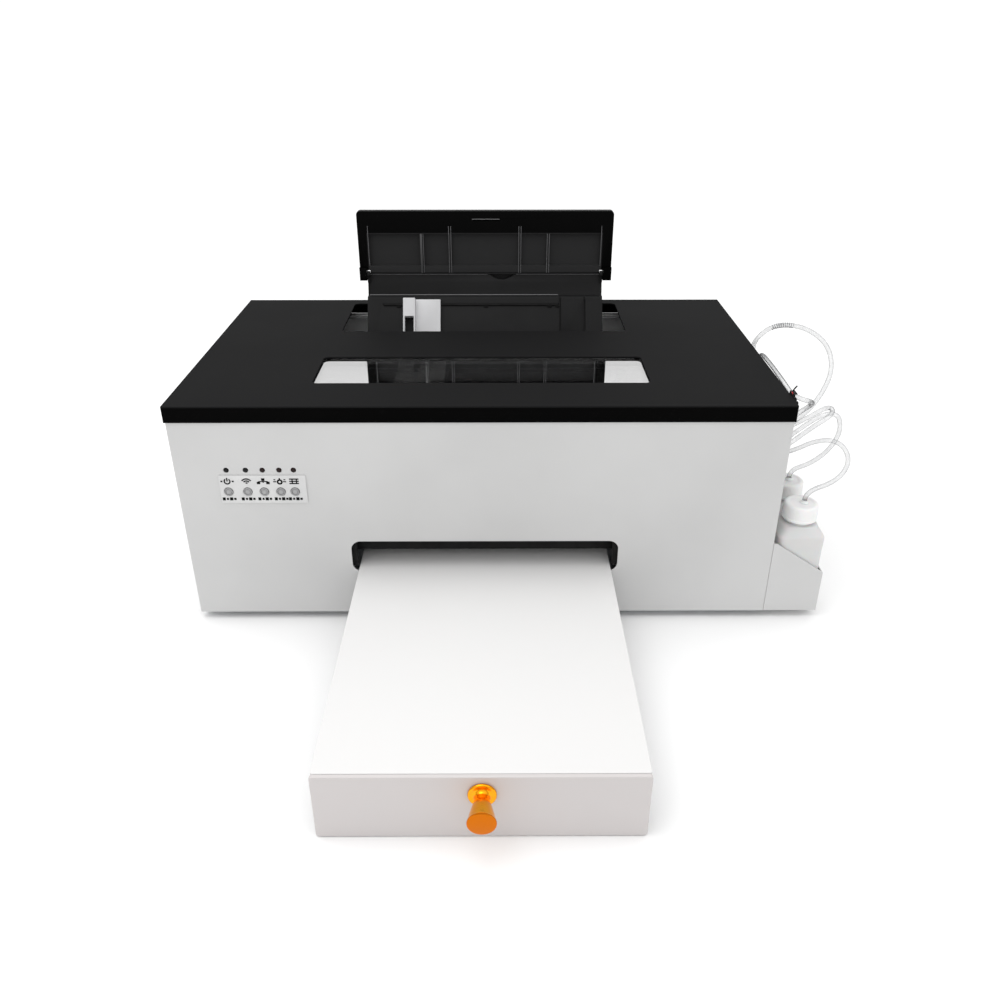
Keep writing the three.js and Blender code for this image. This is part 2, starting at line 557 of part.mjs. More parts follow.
function makeFlap() {
  const { x0, x1, front, rear, bottom, top, corner, hingeY, hingeZ } = FLAP;
  const panel = new THREE.Shape();
  panel.moveTo(x0, bottom);
  panel.lineTo(x1, bottom);
  panel.absarc(x1 - corner, top - corner, corner, 0, Math.PI / 2);
  panel.absarc(x0 + corner, top - corner, corner, Math.PI / 2, Math.PI);
  const recess = FLAP_RECESS;
  const tray = cut(
    prism('y', panel, front, rear, 5),
    box(recess.x0, recess.x1, front - 1, front + recess.depth, recess.z0, recess.z1),
    box(-12.2, 17.8, front - 1, front + 2, top - 10.2, top - 8.2),
  );
  const ribs = FLAP_RIBS.map((x) => (
    box(x - 1, x + 1, front + 1, front + 5, recess.z0 - 1, recess.z1 + 1)
  ));
  const earEnds = [[x0, FEEDER.x0 - GAP], [FEEDER.x1 + GAP, x1]];
  const ears = earEnds.map(([a, b]) => box(a, b, hingeY - 4, rear, hingeZ - 6, hingeZ + 8));
  const lugRoom = [FEEDER.x0, FEEDER.x1 - FEEDER.skin].map((x) => (
    box(x - GAP, x + FEEDER.skin + GAP, front - 2, rear + 1, bottom - 1, hingeZ + LUG + 2 * GAP)
  ));
  const bore = cylinder('x', 2 + GAP, x0 - 5, x1 + 5, 12).translate(0, hingeY, hingeZ);
  piece('support_flap', cut(join(tray, ...ribs, ...ears), bore, ...lugRoom), blackPlastic);
}

// ---- Waste bottles ------------------------------------------------------------------------------------
function makePocket() {
  const { x0, x1, depth, innerTop, outerTop } = POCKET;
  const profile = outline([
    [x0, CASE.bottom], [x1, CASE.bottom], [x1, outerTop], [x0 + 3, innerTop], [x0, innerTop],
  ]);
  const inside = box(x0 + SHEET, x1 - SHEET, SHEET, depth - SHEET, CASE.bottom + SHEET, innerTop + 5);
  piece('bottle_pocket', cut(prism('y', profile, 0, depth), inside), whitePaint);
}

function makeBottle(place, y) {
  const { x, half, radius, top, shoulder: low, neck } = BOTTLE;
  const bottom = CASE.bottom + SHEET + GAP;
  const trunk = prism('z', roundRectangle(x - half, x + half, y - half, y + half, radius), bottom, low, 4);
  const [upper, lower] = [half - 6.4, half + 0.7].map((reach) => reach * Math.SQRT2);
  const shoulder = new THREE.CylinderGeometry(upper, lower, top - low + 1, 4, 1);
  shoulder.rotateY(Math.PI / 4).rotateX(Math.PI / 2).translate(x, y, (top + low - 1) / 2);
  const corner = prism('z', roundRectangle(x - half, x + half, y - half, y + half, radius), low - 1, top, 4);
  const sloped = fromSolid(solid(shoulder).intersect(solid(corner)));
  const throat = cylinder('z', neck, top - 1, CAP.z0 - GAP).translate(CAP.x, y, 0);
  piece(`bottle_${place}`, join(trunk, sloped, throat), bottlePlastic);
  const { radius: r, z0, z1 } = CAP;
  const cap = turned('z', [[0, z0], [r + 0.6, z0], [r, z1 - 1.5], [r - 1.5, z1], [0, z1]], 32);
  piece(`cap_${place}`, cap, bottlePlastic).position.set(CAP.x, y, 0);
}

// ---- Tubes --------------------------------------------------------------------------------------------
const outletFace = OUTLET.x + OUTLET.thick + GAP;
const capTop = CAP.z1 + GAP;
const TUBES = {
  tube_loop: { diameter: LOOP_TUBE, steps: 26, route: [
    [outletFace, 164, 158], [276.5, 164, 158], [280.6, 164.4, 159], [284, 165.4, 162], [285.4, 166.8, 167.5],
    [284.4, 168.4, 176], [281.4, 169.8, 187], [277.8, 169.8, 198], [275.6, 168, 208], [276.2, 163.5, 216.5],
    [280, 160, 224], [285.6, 158, 229.6], [291.6, 156, 233], [299, 151.5, 235.6], [308, 146, 236.2],
    [316, 141, 235], [324.6, 134.5, 231.4], [331.4, 127.5, 225.8], [335.5, 121, 218.8], [336.9, 115, 211],
    [335.4, 108, 202.5], [331.2, 101.5, 193.5], [325.8, 97.5, 184], [319.4, 95, 174.5], [311.8, 94, 165.5],
    [303.5, 94, 157], [295.5, 94, 149.5], [287.5, 94, 144.7], [279.5, 94, 143], [outletFace, 94, 143],
  ] },
  tube_rim: { diameter: THIN_TUBE, steps: 24, route: [
    [outletFace, 150, 172], [276.5, 150, 172], [280.5, 150, 172.8], [284, 150, 175.4], [286, 149.6, 179.4],
    [286, 149.2, 184], [284.6, 148.6, 190], [281.2, 147.4, 197], [277.8, 144.6, 203.6], [275.6, 139, 208.8],
    [274.9, 130, 211.8], [274.9, 117, 212.5], [275, 100, 212.5], [275, 80, 212.2], [275.2, 62, 211.5],
    [275.6, 48, 210.4], [276, 38, 209.8], [278, 30.6, 209.2], [282.6, 25.6, 208.3], [288.6, 25.2, 206.6],
    [293.4, 29.4, 203.4], [295.2, 35.6, 199], [293.8, 41.4, 193.6], [290.2, 46, 188], [285.4, 49, 183.6],
    [279.5, 50, 181], [outletFace, 50, 180.5],
  ] },
  tube_hairpin: { diameter: THIN_TUBE, steps: 20, route: [
    [outletFace, 74, 154], [278, 74, 154], [284, 73.2, 156.4], [291, 71, 161.6], [299, 68, 168.2],
    [307, 65.4, 174.7], [315, 64, 181], [318.6, 62.8, 183.8], [321.2, 59.5, 185.8], [322.1, 55, 186.5],
    [321.2, 50.5, 185.8], [318.6, 47.2, 183.8], [315, 46, 181], [307, 46, 174.8], [299, 45.6, 168.4],
    [291, 45, 161.8], [284, 44.3, 156.4], [278, 44, 154], [outletFace, 44, 154],
  ] },
  tube_rear_bottle: { diameter: THIN_TUBE, steps: 17, route: [
    [outletFace, 80, 132], [278, 80, 132], [283.5, 79.7, 135], [290, 78.5, 142.5], [298, 76.5, 152],
    [307, 75, 161], [315, 74, 168], [323, 73, 173], [330.5, 72, 174.5], [336, 71, 171.5],
    [338.6, 70, 164.5], [338.6, 69, 156.5], [336, 68.5, 147.5], [331, 69, 138], [324, 70, 129.5],
    [316, 71, 123], [308.5, 71, 119.5], [303.5, 71, 117], [300.6, 71, 113.6], [299.5, 71, 110],
    [299.5, 71, capTop],
  ] },
  tube_front_bottle: { diameter: THIN_TUBE, steps: 17, route: [
    [outletFace, 92, 118], [278, 92, 118], [284, 91, 119.5], [291.5, 87, 125], [300, 80.5, 132],
    [306.5, 75, 138.3], [313.5, 70, 145], [321.5, 64, 150.5], [329.5, 58, 153], [336.5, 52, 151],
    [341, 47, 145], [341.7, 43, 138], [338, 39, 130.5], [330.5, 35.3, 124], [321, 31.5, 120.5],
    [312, 28, 119], [305.7, 25.5, 117], [301.8, 24.2, 113.8], [300.4, 24, 110], [300.4, 24, capTop],
  ] },
};

// A tube of eight sides along its route; the section is turned so that its ends stay flat.
function makeTube(name, { diameter, steps, route }) {
  const section = new THREE.Shape();
  for (let k = 0; k < 8; k += 1) {
    const angle = k * Math.PI / 4;
    const [a, b] = [Math.cos(angle) * diameter / 2, Math.sin(angle) * diameter / 2];
    if (k === 0) section.moveTo(a, b);
    else section.lineTo(a, b);
  }
  const path = new THREE.CatmullRomCurve3(route.map((p) => new THREE.Vector3(...p)));
  const settings = { steps, extrudePath: path, bevelEnabled: false };
  piece(name, new THREE.ExtrudeGeometry(section, settings), clearTube);
}

function makeTubes() {
  const plate = roundRectangle(OUTLET.y0, OUTLET.y1, OUTLET.z0, OUTLET.z1, OUTLET.radius);
  piece('tube_outlet', prism('x', plate, OUTLET.x, OUTLET.x + OUTLET.thick, 4), rubber);
  const clip = join(
    box(OUTLET.x, 272.6, 22, 30, 189, 196), box(271.8, 273, 22, 30, 189, 215),
    box(271.8, 276.4, 22, 30, 213.8, 215), box(271.8, 278.4, 22, 30, 203.2, 204.4),
  );
  piece('tube_clip', clip, blackPlastic);
  Object.entries(TUBES).forEach(([name, tube]) => makeTube(name, tube));
}

makeBase();
makeFrontPanel();
makeSidePanel('left_side_panel', -1);
makeSidePanel('right_side_panel', 1);
makeRearPanel();
makeControls();
makeLid();
makeHinge();
makeBed();
makeRack();
makeDrive();
makeSlides();
makeChassis();
makeCarriage();
makeBeltDrive();
makeFeeder();
makeFeederMoving();
makeFlap();
makePocket();
Object.entries(BOTTLE.rows).forEach(([place, y]) => makeBottle(place, y));
makeTubes();

// The printer's own origin: on the table, under the middle of its outline without the tubes.
const rearmost = HINGE.y + HINGE.barrel;
const foremost = BED.front - GAP - KNOB.length;
body.position.set(-(POCKET.x1 - LID.width / 2) / 2, -(foremost + rearmost) / 2, -TABLE);

const printer = new THREE.Group();
printer.add(body);
export default printer;
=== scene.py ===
"""Looks of a flatbed UV printer: its finishes, rounded edges, tubes, bottles and small parts.

Meshes are in metres. Places are worked out from the frame's own boxes: `case(x, y, z)` takes millimetres
from the middle of the front of the case, half a millimetre under its lower rim, x to the right, y to the
back and z up.
"""
import json
import math

import bmesh
import bpy
import numpy as np
from mathutils import Matrix, Vector

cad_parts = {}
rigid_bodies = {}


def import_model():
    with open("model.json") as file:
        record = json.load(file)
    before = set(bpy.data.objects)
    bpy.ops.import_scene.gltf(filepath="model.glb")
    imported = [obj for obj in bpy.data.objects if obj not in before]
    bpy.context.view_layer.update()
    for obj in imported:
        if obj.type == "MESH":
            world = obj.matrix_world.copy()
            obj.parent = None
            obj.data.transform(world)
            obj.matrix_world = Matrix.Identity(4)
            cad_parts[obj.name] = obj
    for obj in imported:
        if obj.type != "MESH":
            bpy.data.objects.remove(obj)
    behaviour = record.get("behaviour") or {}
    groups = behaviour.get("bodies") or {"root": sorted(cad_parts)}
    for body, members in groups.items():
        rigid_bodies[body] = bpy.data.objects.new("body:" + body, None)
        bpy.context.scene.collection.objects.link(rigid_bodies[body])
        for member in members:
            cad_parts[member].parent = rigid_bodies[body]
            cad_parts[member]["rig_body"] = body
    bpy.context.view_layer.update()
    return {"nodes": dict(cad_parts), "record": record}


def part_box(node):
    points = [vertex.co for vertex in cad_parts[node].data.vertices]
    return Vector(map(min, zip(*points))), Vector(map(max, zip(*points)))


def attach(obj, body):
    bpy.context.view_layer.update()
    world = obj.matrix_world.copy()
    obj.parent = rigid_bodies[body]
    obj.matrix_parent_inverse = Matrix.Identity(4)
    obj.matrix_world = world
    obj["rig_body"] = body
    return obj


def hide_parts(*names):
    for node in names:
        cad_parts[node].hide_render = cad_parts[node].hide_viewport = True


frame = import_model()
MM = 0.001
TAU = 2 * math.pi
SKY_LOW, SKY_HIGH = 0.54, 1.40  # the sky's strength at the horizon and overhead
SLOPE_FOOT = (236, 170)  # where the feeder's slope starts, y and z in millimetres
SLOPE_UP = (0.487, 0.874)  # along the slope, as y and z
NECK_START = 87.0  # from this height a bottle's rings are centred on its neck
PIT_SCALE = 3600  # pits of moulded plastic per metre

PANEL_LOW, PANEL_HIGH = (np.array(corner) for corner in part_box("front_panel"))
CASE_ORIGIN = np.array([(PANEL_LOW[0] + PANEL_HIGH[0]) / 2, PANEL_LOW[1], PANEL_LOW[2] - 0.5 * MM])
CASE_HALF = (PANEL_HIGH[0] - PANEL_LOW[0]) / 2 / MM


def case(x, y, z):
    """A point in metres, given in millimetres from the case's own origin."""
    return CASE_ORIGIN + np.array([x, y, z]) * MM


def middle(node):
    """The middle of a CAD node's box."""
    low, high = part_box(node)
    return (np.array(low) + np.array(high)) / 2


# ---- Camera, light and floor ---------------------------------------------------------------------------
def make_camera():
    """Stands 0.7 m in front of the case, half a metre up, looking 28.5 degrees down."""
    data = bpy.data.cameras.new("camera")
    data.sensor_width = 36.0
    data.lens = 32.27
    data.clip_start = 0.01
    camera = bpy.data.objects.new("camera", data)
    bpy.context.collection.objects.link(camera)
    camera.location = case(14.16, -707.2, 506.34)
    tilt = Matrix.Rotation(math.radians(90 - 28.52), 4, "X")
    turn = Matrix.Rotation(math.radians(-0.23), 4, "Z")
    camera.rotation_euler = (turn @ tilt).to_euler()
    bpy.context.scene.camera = camera


def area_light(name, place, target, size, power, tint=(1, 1, 1)):
    data = bpy.data.lights.new(name, "AREA")
    data.shape = "RECTANGLE"
    data.size, data.size_y = size
    data.energy = power
    data.color = tint
    light = bpy.data.objects.new(name, data)
    bpy.context.collection.objects.link(light)
    light.location = place
    aim = Vector(target) - Vector(place)
    light.rotation_euler = aim.to_track_quat("-Z", "Y").to_euler()


def make_studio():
    """A pale sky, brighter overhead, one soft light above the left side, and white behind it all."""
    world = bpy.data.worlds.new("studio")
    bpy.context.scene.world = world
    world.use_nodes = True
    tree = world.node_tree
    sky = tree.nodes["Background"]
    white = tree.nodes.new("ShaderNodeBackground")
    white.inputs["Color"].default_value = (1.0, 1.0, 1.0, 1.0)
    white.inputs["Strength"].default_value = 1.05
    place = tree.nodes.new("ShaderNodeTexCoord")
    split = tree.nodes.new("ShaderNodeSeparateXYZ")
    rise = tree.nodes.new("ShaderNodeMapRange")
    rise.inputs["To Min"].default_value = SKY_LOW
    rise.inputs["To Max"].default_value = SKY_HIGH
    path = tree.nodes.new("ShaderNodeLightPath")
    choice = tree.nodes.new("ShaderNodeMixShader")
    tree.links.new(place.outputs["Generated"], split.inputs[0])
    tree.links.new(split.outputs["Z"], rise.inputs["Value"])
    tree.links.new(rise.outputs[0], sky.inputs["Strength"])
    sky.inputs["Color"].default_value = (1.0, 1.0, 1.0, 1.0)
    tree.links.new(path.outputs["Is Camera Ray"], choice.inputs[0])
    tree.links.new(sky.outputs[0], choice.inputs[1])
    tree.links.new(white.outputs[0], choice.inputs[2])
    tree.links.new(choice.outputs[0], tree.nodes["World Output"].inputs["Surface"])
    area_light("overhead", case(-500, -150, 1650), case(0, 100, 100), (1.4, 1.4), 7.5)
    bpy.context.scene.view_settings.view_transform = "Standard"


# ---- Finishes ------------------------------------------------------------------------------------------
class Value:
    """A socket that carries a number or a vector; arithmetic on it adds Math nodes."""

    def __init__(self, finish, socket):
        self.finish = finish
        self.socket = socket

    def math(self, operation, first, second=0.0):
        return self.finish.node("ShaderNodeMath", {"operation": operation}, {0: first, 1: second})

    def __add__(self, other):
        return self.math("ADD", self, other)

    def __sub__(self, other):
        return self.math("SUBTRACT", self, other)

    def __rsub__(self, other):
        return self.math("SUBTRACT", other, self)

    def __mul__(self, other):
        return self.math("MULTIPLY", self, other)

    def __pow__(self, power):
        return self.math("POWER", self, power)

    __radd__ = __add__
    __rmul__ = __mul__

    def sine(self):
        return self.math("SINE", self)

    def most(self, other):
        return self.math("MAXIMUM", self, other)

    def step(self, start, end):
        """0 below start, 1 above end, and a smooth rise between them."""
        settings = {"interpolation_type": "SMOOTHSTEP"}
        sockets = {0: self, 1: start, 2: end, 3: 0.0, 4: 1.0}
        return self.finish.node("ShaderNodeMapRange", settings, sockets)


class Finish:
    """One material: a Principled shader with helpers that add its other nodes."""

    def __init__(self, name, **constants):
        self.material = bpy.data.materials.new(name)
        self.material.use_nodes = True
        self.tree = self.material.node_tree
        self.shader = self.tree.nodes["Principled BSDF"]
        for socket, value in constants.items():
            self.set(socket.replace("_", " ").title().replace("Ior", "IOR"), value)

    def node(self, kind, settings=None, sockets=None, output=0):
        made = self.tree.nodes.new(kind)
        for name, value in (settings or {}).items():
            setattr(made, name, value)
        for name, value in (sockets or {}).items():
            self.connect(made.inputs[name], value)
        return Value(self, made.outputs[output])

    def connect(self, socket, value):
        if isinstance(value, Value):
            self.tree.links.new(value.socket, socket)
        elif isinstance(value, (tuple, list)) and len(value) == 3 and socket.type == "RGBA":
            socket.default_value = (*value, 1.0)
        else:
            socket.default_value = value

    def set(self, socket, value):
        self.connect(self.shader.inputs[socket], value)

    def place(self, scale=(1, 1, 1)):
        coordinates = self.node("ShaderNodeTexCoord", output="Object")
        return self.node("ShaderNodeMapping", None, {"Vector": coordinates, "Scale": scale})

    def axes(self, vector):
        made = self.node("ShaderNodeSeparateXYZ", None, {0: vector})
        return [Value(self, output) for output in made.socket.node.outputs]

    def noise(self, vector, scale, detail=2.0, roughness=0.5):
        sockets = {"Vector": vector, "Scale": scale, "Detail": detail, "Roughness": roughness}
        return self.node("ShaderNodeTexNoise", None, sockets)

    def cells(self, vector, scale, output="Distance"):
        sockets = {"Vector": vector, "Scale": scale}
        return self.node("ShaderNodeTexVoronoi", {"feature": "F1"}, sockets, output)

    def mix(self, factor, first, second):
        sockets = {0: factor, 6: first, 7: second}
        return self.node("ShaderNodeMix", {"data_type": "RGBA"}, sockets, output=2)

    def bump(self, height, strength, distance):
        sockets = {"Height": height, "Strength": strength, "Distance": distance}
        self.set("Normal", self.node("ShaderNodeBump", None, sockets))


def shade(colour, factor):
    return tuple(min(1.0, c * factor) for c in colour)


def powder_coat(name, colour, roughness, grain, specular=0.5, dust=0.0, rim=None):
    """Paint baked from powder: a faint orange peel, slow shifts of tone and, on black, a little dust.

    rim is the height below which the colour is near black: painted shade on the folded sides of the lid,
    whose top keeps the paint's own tone.
    """
    finish = Finish(name, specular_ior_level=specular)
    place = finish.place()
    peel = finish.noise(place, 620, 3)
    fine = finish.noise(place, 2600, 2)
    slow = finish.noise(place, 7, 3).step(0.3, 0.7)
    tone = finish.mix(slow, shade(colour, 0.965), shade(colour, 1.03))
    if dust:
        specks = finish.cells(place, 420).step(0.16, 0.05)
        patchy = finish.noise(place, 35, 2).step(0.45, 0.7)
        tone = finish.mix(specks * patchy * dust, tone, (0.5, 0.5, 0.49))
    # Painted shade: below the rim height the colour is near black, so the lid's folded sides and every lower
    # part in this paint read darker than the lid's top.
    if rim:
        above = finish.axes(place)[2].step(rim - 0.2 * MM, rim + 0.2 * MM)
        tone = finish.mix(above, (0.0006, 0.0006, 0.0006), tone)
    finish.set("Base Color", tone)
    finish.set("Roughness", roughness + (slow - 0.5) * 0.06 + (fine - 0.5) * 0.08)
    finish.bump(peel * 0.6 + fine * 0.4, grain, 0.0003)
    return finish.material


def bed_enamel(name="bed_enamel", colour=(0.75, 0.745, 0.74)):
    """Smooth white enamel with fine rubbing marks along the way that the bed is wiped."""
    finish = Finish(name, specular_ior_level=0.45)
    streaks = finish.noise(finish.place((1, 14, 1)), 60, 4, 0.6)
    slow = finish.noise(finish.place(), 5, 2).step(0.3, 0.7)
    marks = streaks.step(0.62, 0.80) * 0.10
    finish.set("Base Color", finish.mix(marks + slow * 0.04, colour, shade(colour, 0.80)))
    finish.set("Roughness", 0.34 + streaks * 0.14)
    finish.bump(finish.noise(finish.place(), 900, 2), 0.06, 0.0002)
    return finish.material


def moulded_plastic(name, colour, roughness, grain=0.25, specular=0.4):
    """Spark-eroded plastic: small pits a fifth of a millimetre apart, rubbed smoother in patches."""
    finish = Finish(name, specular_ior_level=specular)
    place = finish.place()
    pits = finish.cells(place, PIT_SCALE)
    rubbed = finish.noise(place, 22, 3).step(0.35, 0.75)
    finish.set("Base Color", finish.mix(rubbed, shade(colour, 0.94), shade(colour, 1.06)))
    finish.set("Roughness", roughness - rubbed * 0.07 + pits * 0.06)
    finish.bump(pits * (1.25 - rubbed * 0.5), grain, 0.00015)
    return finish.material


def flap_plastic():
    """The flap's plastic: fine pits, and a glossier near-black band along its top and both sides; along the
    top the near black is painted shade.
    """
    finish = Finish("flap_moulding", specular_ior_level=0.05)
    place = finish.place()
    pits = finish.cells(place, PIT_SCALE)
    x, _, height = finish.axes(place)
    left, _, line = (float(value) for value in case(-126.2, 0, 297.2))
    right = float(case(129.4, 0, 0)[0])
    soft = 0.2 * MM
    # Painted shade: near black above the band line, where the flap's top curves forward and down; the same
    # near black on both sides.
    band = height.step(line - 0.3 * MM, line + 0.3 * MM)
    band = band.most(x.step(left + soft, left - soft)).most(x.step(right - soft, right + soft))
    finish.set("Base Color", finish.mix(band, (0.031, 0.031, 0.0315), (0.0006, 0.0006, 0.0006)))
    finish.set("Roughness", 0.58 - band * 0.22 + pits * 0.05)
    finish.bump(pits * (1.0 - band * 0.8), 0.2, 0.00015)
    return finish.material


def soft_rubber(name, colour=(0.018, 0.018, 0.019)):
    finish = Finish(name, specular_ior_level=0.3)
    place = finish.place()
    bloom = finish.noise(place, 90, 4).step(0.4, 0.75)
    finish.set("Base Color", finish.mix(bloom * 0.5, colour, shade(colour, 2.2)))
    finish.set("Roughness", 0.72 + bloom * 0.15)
    finish.bump(finish.noise(place, 1800, 3), 0.25, 0.0002)
    return finish.material


def brushed_metal(name, colour, roughness, along=(1, 40, 40), metallic=1.0):
    """Metal with grinding lines that run along x."""
    finish = Finish(name, metallic=metallic)
    lines = finish.noise(finish.place(along), 220, 4, 0.65)
    stain = finish.noise(finish.place(), 16, 3).step(0.35, 0.8)
    finish.set("Base Color", finish.mix(stain * 0.5 + lines * 0.3, colour, shade(colour, 0.78)))
    finish.set("Roughness", roughness + lines * 0.16 + stain * 0.07)
    finish.bump(lines, 0.08, 0.0001)
    return finish.material


def zinc_plate():
    """Zinc-plated sheet with pale crystal flakes."""
    finish = Finish("zinc_plate", metallic=0.95)
    flakes = finish.cells(finish.place(), 130.0, "Color")
    tone = finish.axes(flakes)[0]
    finish.set("Base Color", finish.mix(tone, (0.46, 0.48, 0.50), (0.66, 0.68, 0.70)))
    finish.set("Roughness", 0.30 + tone * 0.22)
    finish.bump(finish.noise(finish.place(), 700, 3), 0.08, 0.0002)
    return finish.material


def gold_anodised(centre):
    """Turned aluminium, dyed gold: cutting rings around the knob's own axis, and a darker gold on the flat
    end face as painted shade.
    """
    finish = Finish("gold_anodised", metallic=1.0, coat_weight=0.12, coat_roughness=0.05)
    x, y, z = finish.axes(finish.place())
    across = ((x - centre[0]) ** 2 + (z - centre[2]) ** 2) ** 0.5
    rings = ((across + y) * 16000).sine()
    wear = finish.noise(finish.place(), 260, 4).step(0.5, 0.8)
    body = finish.mix(wear * 0.6, (1.0, 0.40, 0.008), (0.90, 0.30, 0.005))
    # Painted shade: the flat end face gets a darker gold than the sides.
    face = (y - float(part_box("bed_knob")[0][1])).step(0.0012, 0.0006)
    finish.set("Base Color", finish.mix(face, body, (0.60, 0.15, 0.001)))
    finish.set("Roughness", 0.13 + wear * 0.08 + rings * 0.03)
    finish.bump(rings, 0.10, 0.00005)
    return finish.material


def mirror_acrylic():
    """Half-silvered acrylic: it mirrors the room, and lets some of the inside through."""
    finish = Finish("mirror_acrylic", metallic=1.0, coat_weight=0.4, coat_roughness=0.02)
    place = finish.place()
    smear = finish.noise(place, 18, 4).step(0.5, 0.8)
    finish.set("Base Color", finish.mix(smear * 0.5, (0.97, 0.97, 0.97), (0.90, 0.90, 0.90)))
    finish.set("Roughness", 0.012 + smear * 0.03)
    finish.set("Alpha", 0.74 - smear * 0.02)
    finish.bump(finish.noise(place, 14, 2), 0.02, 0.002)
    return finish.material


def milky_plastic(name, colour, subsurface, roughness=0.42):
    """Blown polyethylene that lets light in: soft waves in the wall and a faint seam haze."""
    finish = Finish(name, subsurface_weight=subsurface, subsurface_scale=0.006, specular_ior_level=0.45)
    place = finish.place()
    waves = finish.noise(place, 45, 3)
    cloud = finish.noise(place, 18, 3).step(0.3, 0.75)
    finish.set("Base Color", finish.mix(cloud * 0.7, colour, shade(colour, 0.93)))
    finish.set("Roughness", roughness + waves * 0.08)
    finish.bump(waves * 0.7 + finish.noise(place, 800, 2) * 0.3, 0.12, 0.0008)
    return finish.material


def clear_vinyl(name, colour, rim_shade, veil):
    """Soft clear tube wall: nearly unseen in the middle, with painted shade as a faint dark line at the bore
    and dark grey at the rim.

    The alpha grows with the slant of the wall to the line of sight, as the way through the wall does.
    """
    finish = Finish(name, specular_ior_level=0.5)
    place = finish.place()
    haze = finish.noise(place, 120, 3).step(0.4, 0.8)
    slant = finish.node("ShaderNodeLayerWeight", None, {"Blend": 0.5}, output="Facing")
    rim = slant.step(0.42, 0.74)
    bore = slant.step(0.24, 0.30) * (1.0 - slant.step(0.30, 0.38))
    # Painted shade: the colour turns dark grey at the rim and partly at the bore, for the dark lines that
    # refraction draws on a clear tube.
    finish.set("Base Color", finish.mix(rim.most(bore * 0.6), colour, rim_shade))
    finish.set("Alpha", veil + haze * 0.08 + bore * 0.20 + rim * 0.60)
    finish.set("Roughness", 0.10 + haze * 0.10)
    finish.bump(finish.noise(place, 260, 3), 0.08, 0.0006)
    return finish.material


def solder_mask():
    """Green board with copper tracks showing through as lighter lines."""
    finish = Finish("solder_mask", coat_weight=0.3)
    x, _, z = finish.axes(finish.place())
    tracks = ((z * 2600).sine() * (x * 1900).sine()).step(0.1, 0.4)
    finish.set("Base Color", finish.mix(tracks, (0.008, 0.07, 0.03), (0.02, 0.15, 0.06)))
    finish.set("Roughness", 0.32 + tracks * 0.1)
    finish.bump(tracks, 0.2, 0.00006)
    return finish.material


def lens(name, colour):
    finish = Finish(name, specular_ior_level=0.25)
    rings = finish.noise(finish.place(), 900, 2)
    finish.set("Base Color", finish.mix(rings, shade(colour, 0.8), colour))
    finish.set("Roughness", 0.16 + rings * 0.08)
    return finish.material


def floor_card():
    finish = Finish("floor_card", specular_ior_level=0.2, roughness=0.8)
    slow = finish.noise(finish.place(), 2, 2)
    finish.set("Base Color", finish.mix(slow, (0.945, 0.945, 0.945), (0.955, 0.955, 0.955)))
    return finish.material


# Height below which the black paint turns near black: painted shade on the lid's sides and on lower parts in
# this paint.
LID_SHADE_LINE = float(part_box("lid_cover")[1][2]) - 1.2 * MM
SLOTS = {
    "white_paint": powder_coat("white_powder", (0.60, 0.60, 0.597), 0.42, 0.10, 0.35),
    "bed_white": bed_enamel(),
    "black_paint": powder_coat("black_powder", (0.0105, 0.0105, 0.0108), 0.66, 0.16, 0.035,
                               dust=0.035, rim=LID_SHADE_LINE),
    "black_plastic": moulded_plastic("black_moulding", (0.012, 0.012, 0.0123), 0.55, 0.25, 0.13),
    "grey_plastic": moulded_plastic("grey_moulding", (0.66, 0.66, 0.67), 0.45),
    "label_plastic": moulded_plastic("label_film", (0.68, 0.68, 0.678), 0.38, 0.08),
    "rubber": soft_rubber("soft_rubber"),
    "steel": brushed_metal("brushed_steel", (0.60, 0.61, 0.62), 0.24),
    "zinc_sheet": zinc_plate(),
    "gold_anodised": gold_anodised(middle("bed_knob")),
    "clear_acrylic": mirror_acrylic(),
    "bottle_plastic": milky_plastic("bottle_polythene", (0.67, 0.67, 0.667), 0.20),
    # The third colour is painted shade at the tubes' rims and bores.
    "clear_tube": clear_vinyl("clear_vinyl", (0.52, 0.53, 0.54), (0.085, 0.087, 0.09), 0.20),
    "board": solder_mask(),
    "brass": brushed_metal("turned_brass", (0.78, 0.57, 0.22), 0.22),
}
EXTRA = {
    "white_cap": milky_plastic("cap_polypropylene", (0.90, 0.90, 0.895), 0.12, 0.35),
    "lamp_dark": lens("lamp_dark", (0.0015, 0.0018, 0.0018)),
    "lamp_red": lens("lamp_red", (0.012, 0.003, 0.0015)),
    "mark_ink": powder_coat("mark_ink", (0.002, 0.002, 0.002), 0.6, 0.05, 0.1),
    "red_wire": moulded_plastic("red_insulation", (0.42, 0.012, 0.016), 0.4, 0.05),
    "flap": flap_plastic(),
    # Grey for thin beads along edges: painted highlights where rounded edges catch the light.
    "highlight_edge": moulded_plastic("highlight_edge", (0.16, 0.16, 0.165), 0.3, 0.05),
    "rib_grey": moulded_plastic("rib_grey", (0.07, 0.07, 0.072), 0.35, 0.05),
    # The wrap's third colour is painted shade at its rims.
    "wrap": clear_vinyl("spiral_wrap", (0.30, 0.31, 0.32), (0.06, 0.06, 0.06), 0.55),
    # The bed's enamel in a darker, warmer colour for the apron: painted shade on its front face, which gets
    # less light than the bed's top.
    "apron": bed_enamel("apron_enamel_shaded", (0.605, 0.575, 0.57)),
    "button_grey": moulded_plastic("button_moulding", (0.38, 0.38, 0.385), 0.4),
    "deep_black": soft_rubber("deep_black", (0.0012, 0.0012, 0.0012)),
    "window_grey": moulded_plastic("window_fitting", (0.80, 0.80, 0.80), 0.5, 0.1),
}
NODE_SLOT = {part["node"]: part["material_slot"] for part in frame["record"]["subparts"]}


def node_object(node):
    return frame["nodes"][node]


def finish_nodes():
    """Gives each CAD node the finish of its slot."""
    for node, slot in NODE_SLOT.items():
        data = node_object(node).data
        data.materials.clear()
        data.materials.append(SLOTS[slot])


